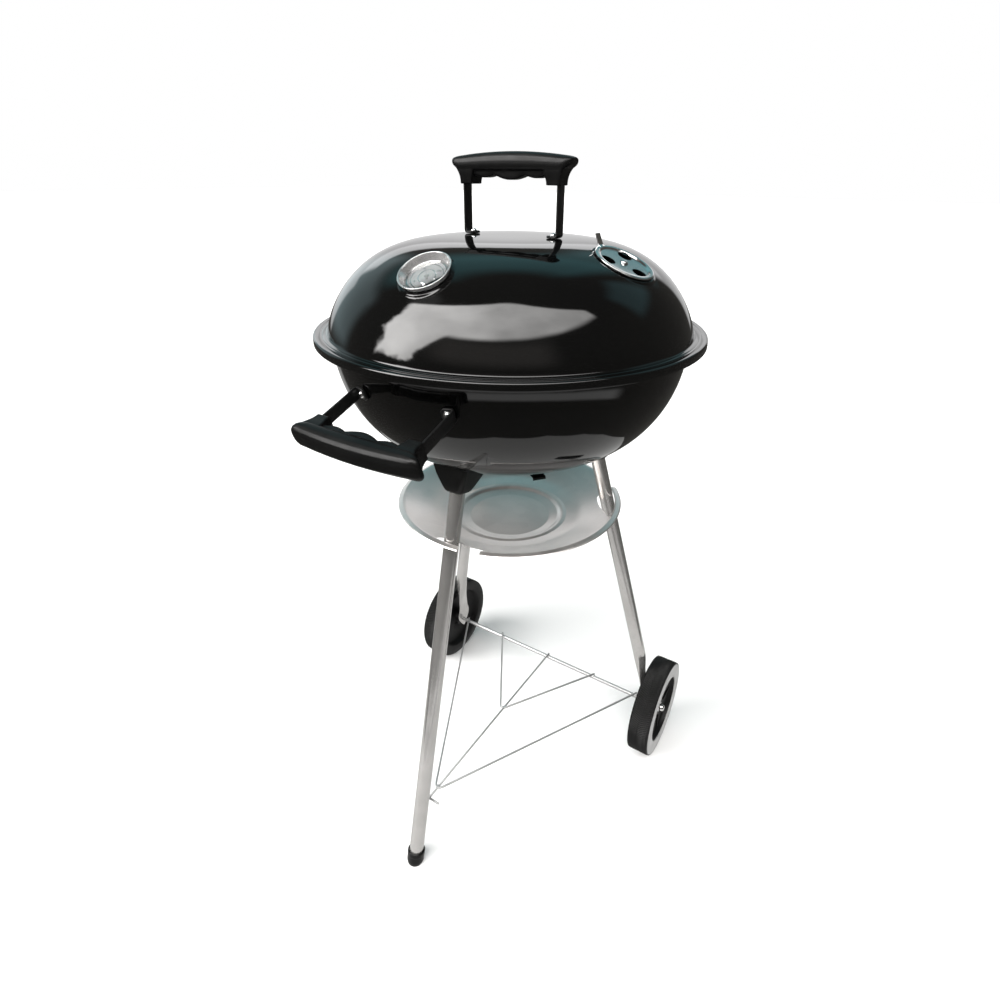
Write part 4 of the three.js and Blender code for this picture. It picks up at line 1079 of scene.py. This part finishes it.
# ---------- wire rack ----------
def wire_rack():
    """A V of wire from the axle to the front leg, with a smaller V and a middle wire inside it."""
    wire = 1.5
    rear_height = WHEEL_RADIUS + AXLE_RADIUS + wire + 0.05
    rear_y = AXLE_Y + 3
    front_height = 84.0
    leg_back = -leg_radius("front", front_height)

    def at(x, y):
        """A point of the rack's plane, which falls from the leg to the axle."""
        share = (y - leg_back) / (rear_y - leg_back)
        return Vector((x, y, front_height + (rear_height - front_height) * share))

    wires = [
        sweep(bent([at(-171, rear_y), at(0, -190), at(171, rear_y)], 15, 14), wire, 16),
        sweep(bent([at(-94, rear_y), at(0, -24), at(94, rear_y)], 11, 12), wire, 16),
        sweep([at(0, leg_back - 4), at(2.5, -30), at(5, rear_y)], wire, 16),
    ]
    stop_y = leg_back + TUBE_RADIUS + 8
    drop = Vector((0, 0, -1.8 * wire))
    wires.append(sweep([at(-15, stop_y) + drop, at(15, stop_y) + drop], wire, 16))
    make("wire_rack", joined(*wires), "stand", WIRE, ["wire_rack"], 60)
    on_axle = revolve([(0, 1.6), (1.6, 1.3), (2.4, 0.4), (2.5, -0.6), (1.8, -1.6), (0, -1.9)], 20)
    axle_top = WHEEL_RADIUS + AXLE_RADIUS + 0.2
    welds = [placed(on_axle, shift(x, AXLE_Y, axle_top)) for x in (-171, -94, 5, 94, 171)]
    on_wire = revolve([(0, 1.7), (1.5, 1.4), (2.3, 0.3), (2.3, -0.8), (1.5, -1.8), (0, -2.1)], 20)
    welds += [placed(on_wire, shift(*at(x, y))) for x, y in ((0, -181), (1.5, -18), (0, stop_y))]
    make("wire_rack_welds", joined(*welds), "stand", WIRE)


wire_rack()


# ---------- ash catcher ----------
PAN_HEIGHT, PAN_RADIUS = 464.0, 150.5


def ash_catcher():
    """A dished pan with a slot for each leg; slot edges are (radius, degrees from the leg)."""
    top = eased(
        [(0, -33), (54, -33, 12), (66, -30.0, 6), (70.2, -27.0, 3.0), (73.2, -26.2, 3.0), (78, -26.8, 4.0),
         (96, -22.5, 60), (122, -10.5, 40), (140.5, -1.4, 4.0), (144, 0.0, 1.2), (149.4, -1.2, 0.8),
         (PAN_RADIUS, -2.4)], 6)
    under = offset(top, -0.9)
    under = [(min(r, PAN_RADIUS - 0.3), z) for r, z in under]
    pan = bare("ash_pan", placed(revolve(top + under[::-1], 288), shift(0, 0, PAN_HEIGHT)))
    tail = [(121.4, 4), (125, 5.9), (129.4, 8.5), (130.4, 15.3), (133.6, 19.2), (138.5, 19.9), (144, 18.5)]
    rear = [(137.5, -24), (133, -19.7), (127.4, -14.5), (123, -9.2), (120.8, -4), (120.6, 0)] + tail
    front = [(132, -7.4), (124, -6.4), (120.6, -3), (120.6, 0)] + tail
    for name in LEGS:
        inside, first = (front, -7.2) if name == "front" else (rear, -24)
        edge = [(162.0, 18.5)] + inside[::-1]
        edge += [(142.2, first + (7.5 - first) * i / 12) for i in range(13)] + [(162.0, 8.3)]
        corners = [(*polar(r, math.radians(a))[:2], 1.6) for r, a in edge]
        slab = plate(eased(corners, 3, closed=True), 50, 0.01)
        cut(pan, placed(slab, turn(LEGS[name][0], "Z"), shift(0, 0, PAN_HEIGHT - 30)), solver="MANIFOLD")
    finish(pan, "ash_catcher", GALVANISED, ["ash_catcher"], 30)


ash_catcher()


# ---------- bowl vent ----------
def bowl_vent():
    top = BOWL_BASE - BOWL_DEPTH - GAP
    piece = bare("bowl_vent_disc", rod(58, top - 1.2, top, 0.4, 128))
    place = BOWL_VENT_TURN @ turn(TURN / 4, "Z") @ shift(0, 0, top)
    cut(piece, holes(3, BOWL_HOLE, BOWL_CIRCLE, place, reach=5))
    finish(piece, "bowl_vent_damper", GALVANISED, ["bowl_vent_damper"], 30)
    path = eased([(50, top - 0.6), (101.4, top - 0.6, 1.4), (101.4, top - 3.6)], 4)
    tab = ribbon(path, lambda i: rectangle(0.6, 8, 0.3, 2))
    make("bowl_vent_tab", placed(tab, BOWL_VENT_TURN), "bowl_vent_damper", PAINTED)
    head = raised([(0, -1.9), (2, -1.7), (3.6, -1.0), (4.2, 0), (2.2, 0)], top - 1.3)
    tail = raised([(2.2, 1.6), (4.2, 1.6), (3.8, 2.6), (2, 3.4), (0, 3.6)], top)
    make("bowl_vent_rivet", revolve(head + tail, 40), "stand", CHROME, ["bowl_vent_rivet"])


bowl_vent()


# ---------- grates ----------
def grate(name, look, radius, height, pitch):
    half, round_wire, bar_wire = radius - 2.5, 2.5, 2.0
    section = [polar(round_wire, TURN * i / 14) for i in range(14)]
    bars = [revolve([(half + u, v) for u, v, _ in section], 144, loop=True)]
    count = int((half - pitch / 2) // pitch)
    for i in range(-count, count + 1):
        reach = math.sqrt(half**2 - (i * pitch) ** 2)
        bars.append(sweep([(-reach, i * pitch, 0), (0, i * pitch, 0), (reach, i * pitch, 0)], bar_wire))
    reach = count * pitch + 2
    bars.append(sweep([(0, -reach, -2), (0, 0, -2), (0, reach, -2)], bar_wire))
    make(name, placed(joined(*bars), shift(0, 0, height)), name, look, [name], 60)


grate("cooking_grate", COOKING_WIRE, 196, 676, 30)
grate("charcoal_grate", CHARCOAL_WIRE, 157.488, 578.923, 34)


# ---------- CAD nodes that stay, and their finishes ----------
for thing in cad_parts.values():
    if not thing.hide_render:
        thing.data.materials.clear()
        thing.data.materials.append(GALVANISED[0])
        ease = thing.modifiers.new("ease", "BEVEL")
        ease.width, ease.segments, ease.limit_method = 0.0003, 2, "ANGLE"


# ---------- stage and light ----------
def sheet(name, points, faces, unseen, **values):
    """A flat piece of the stage, with kinds of ray that don't see it and values of its shader."""
    mesh = bpy.data.meshes.new(name)
    mesh.from_pydata(points, [], faces)
    piece = bpy.data.objects.new(name, mesh)
    bpy.context.scene.collection.objects.link(piece)
    material = bpy.data.materials.new(name)
    material.use_nodes = True
    for key, value in values.items():
        material.node_tree.nodes["Principled BSDF"].inputs[key.replace("_", " ")].default_value = value
    mesh.materials.append(material)
    for kind in unseen:
        setattr(piece, "visible_" + kind, False)


def pale_floor(half=30.0):
    corners = [(-half, -half, 0), (half, -half, 0), (half, half, 0), (-half, half, 0)]
    sheet("floor", corners, [(0, 1, 2, 3)], ["glossy"], Base_Color=(0.86, 0.86, 0.86, 1), Roughness=0.9)


# Soft areas of the studio round the grill: the middle's azimuth, half the width and the softness of its ends,
# then the lower edge, upper edge and softness in elevation, all in degrees, and the light.
AREAS = (
    (124, 37, 2, -6, 12.5, 1, (0.85, 0.85, 0.86)),
    (121, 33, 3, 12.5, 21, 1, (1.4, 1.4, 1.42)),
    (166, 22, 6, -2, 30, 5, (0.34, 0.46, 0.49)),
    (131, 46, 9, 35, 63, 8, (0.12, 0.37, 0.41)),
    (96, 16, 6, 22, 33, 5, (0.10, 0.25, 0.28)),
    (212, 9, 4, 47, 60, 3, (0.3, 0.3, 0.3)),
    (57, 14, 5, 29, 50, 4, (0.11, 0.24, 0.27)),
    (290, 38, 10, 18, 39, 7, (0.27, 0.25, 0.235)),
    (306, 69, 6, -31, -25, 1.5, (0.85, 0.85, 0.85)),
    (151, 9, 3, -25, -17, 3, (0.42, 0.42, 0.42)),
)
# The pale ground that the grill's shiny pieces mirror, as (azimuth, reach from the axis in metres).
GROUND = ((0, 0.56), (20, 0.57), (57, 0.64), (72, 0.66), (90, 0.77), (115, 0.95), (140, 1.0), (160, 0.95),
          (172, 0.5), (190, 0.44), (212, 0.45), (250, 0.5), (290, 0.5), (330, 0.53))


def ground():
    """A patch just under the floor, which only mirrored rays can see."""
    centre, count = Vector((AXIS_X, AXIS_Y, -0.001)), len(GROUND)
    points = [centre] + [centre + Vector(polar(reach, math.radians(azimuth))) for azimuth, reach in GROUND]
    faces = [(0, 1 + i, 1 + (i + 1) % count) for i in range(count)]
    unseen = ("camera", "diffuse", "shadow", "transmission", "volume_scatter")
    sheet("ground", points, faces, unseen, Base_Color=(0, 0, 0, 1), Emission_Color=(0.72, 0.715, 0.7, 1),
          Emission_Strength=1.0)


class Sky(Tree):
    """The world's node tree, with short calls for shares over direction."""

    def __init__(self, name):
        self.world = bpy.data.worlds.new(name)
        super().__init__(self.world, "Generated")
        split = self.new("SeparateXYZ")
        self.link(self.place, split.inputs[0])
        degrees = 360 / TURN
        x, y, z = split.outputs
        self.up = self.maths("MULTIPLY", self.maths("ARCSINE", z), degrees)
        around = self.maths("MULTIPLY", self.maths("ARCTAN2", y, x), degrees)
        self.azimuth = self.maths("WRAP", around, 360.0, 0.0)

    def maths(self, operation, *values):
        node = self.new("Math", operation=operation)
        for socket, value in zip(node.inputs, values):
            if isinstance(value, (int, float)):
                socket.default_value = value
            else:
                self.link(value, socket)
        return node.outputs["Value"]

    def rise(self, value, edge, soft):
        """0 below an edge and 1 above it; the edge is a number or a socket."""
        return self.remap(self.maths("SUBTRACT", value, edge), -soft, soft, kind="SMOOTHSTEP")

    def both(self, *shares):
        result = shares[0]
        for share in shares[1:]:
            result = self.maths("MULTIPLY", result, share)
        return result

    def fall(self, value, edge, soft):
        return self.maths("SUBTRACT", 1.0, self.rise(value, edge, soft))

    def between(self, value, low, high, soft):
        return self.both(self.rise(value, low, soft), self.fall(value, high, soft))

    def from_middle(self, azimuth):
        """Degrees round from an azimuth, -180 to 180."""
        return self.maths("WRAP", self.maths("SUBTRACT", self.azimuth, float(azimuth)), 180.0, -180.0)

    def total(self, base, parts):
        """A base light plus a colour times a share for each part."""
        result = None
        for share, colour in parts:
            node = self.new("VectorMath", operation="MULTIPLY_ADD")
            self.link(share, node.inputs[0])
            node.inputs[1].default_value = colour
            if result:
                self.link(result, node.inputs[2])
            else:
                node.inputs[2].default_value = base
            result = node.outputs["Vector"]
        return result


def overhead(sky):
    """A long cloudy softbox across the front, which reaches down like a window at its left end."""
    middle = sky.from_middle(291.5)
    bow = sky.maths("MULTIPLY", sky.maths("SUBTRACT", middle, 6.5), 1 / 16.5)
    upper = sky.maths("SUBTRACT", 76.5, sky.maths("MULTIPLY", bow, bow))
    ragged = sky.remap(sky.noise(3.2, 3.0, roughness=0.5), 0.3, 0.7, -7.0, 7.0)
    left = sky.remap(middle, -57.0, -33.0, 1.0, 0.0, "SMOOTHSTEP")
    drop = sky.maths("ADD", sky.both(left, -26.0), sky.both(left, ragged))
    lower = sky.maths("ADD", sky.remap(middle, -41.5, 83.5, 38.5, 48.0), drop)
    left_end = sky.rise(sky.maths("ADD", middle, sky.both(left, ragged)), -80.0, 3.5)
    right_end = sky.fall(middle, 83.5, 2.0)
    inside = sky.both(sky.rise(sky.up, lower, 2.5), sky.fall(sky.up, upper, 1.5), left_end, right_end)
    dimmer = sky.remap(middle, -1.5, 70.0, 0.0, 1.5)
    level = sky.maths("SUBTRACT", sky.remap(middle, -66.0, -1.5, 10.5, 7.0), dimmer)
    cloud = sky.remap(sky.noise(2.4, 4.0, roughness=0.5), 0.3, 0.7, 0.72, 1.15)
    return sky.both(inside, level, cloud)


def studio():
    sky = Sky("studio")
    base = (0.085, 0.082, 0.076)
    parts = [(overhead(sky), (1.0, 0.985, 0.97))]
    for azimuth, half, ends, low, high, soft, light in AREAS:
        middle = sky.from_middle(azimuth)
        share = sky.both(sky.between(middle, -half, half, ends), sky.between(sky.up, low, high, soft))
        parts.append((share, light))
    mix = sky.new("Mix", data_type="RGBA")
    sky.link(sky.new("LightPath").outputs["Is Camera Ray"], mix.inputs["Factor"])
    sky.link(sky.total(base, parts), mix.inputs[6])
    mix.inputs[7].default_value = (1, 1, 1, 1)
    sky.link(mix.outputs[2], sky.tree.nodes["Background"].inputs["Color"])
    bpy.context.scene.world = sky.world


pale_floor()
ground()
studio()
bpy.context.scene.view_settings.view_transform = "Standard"
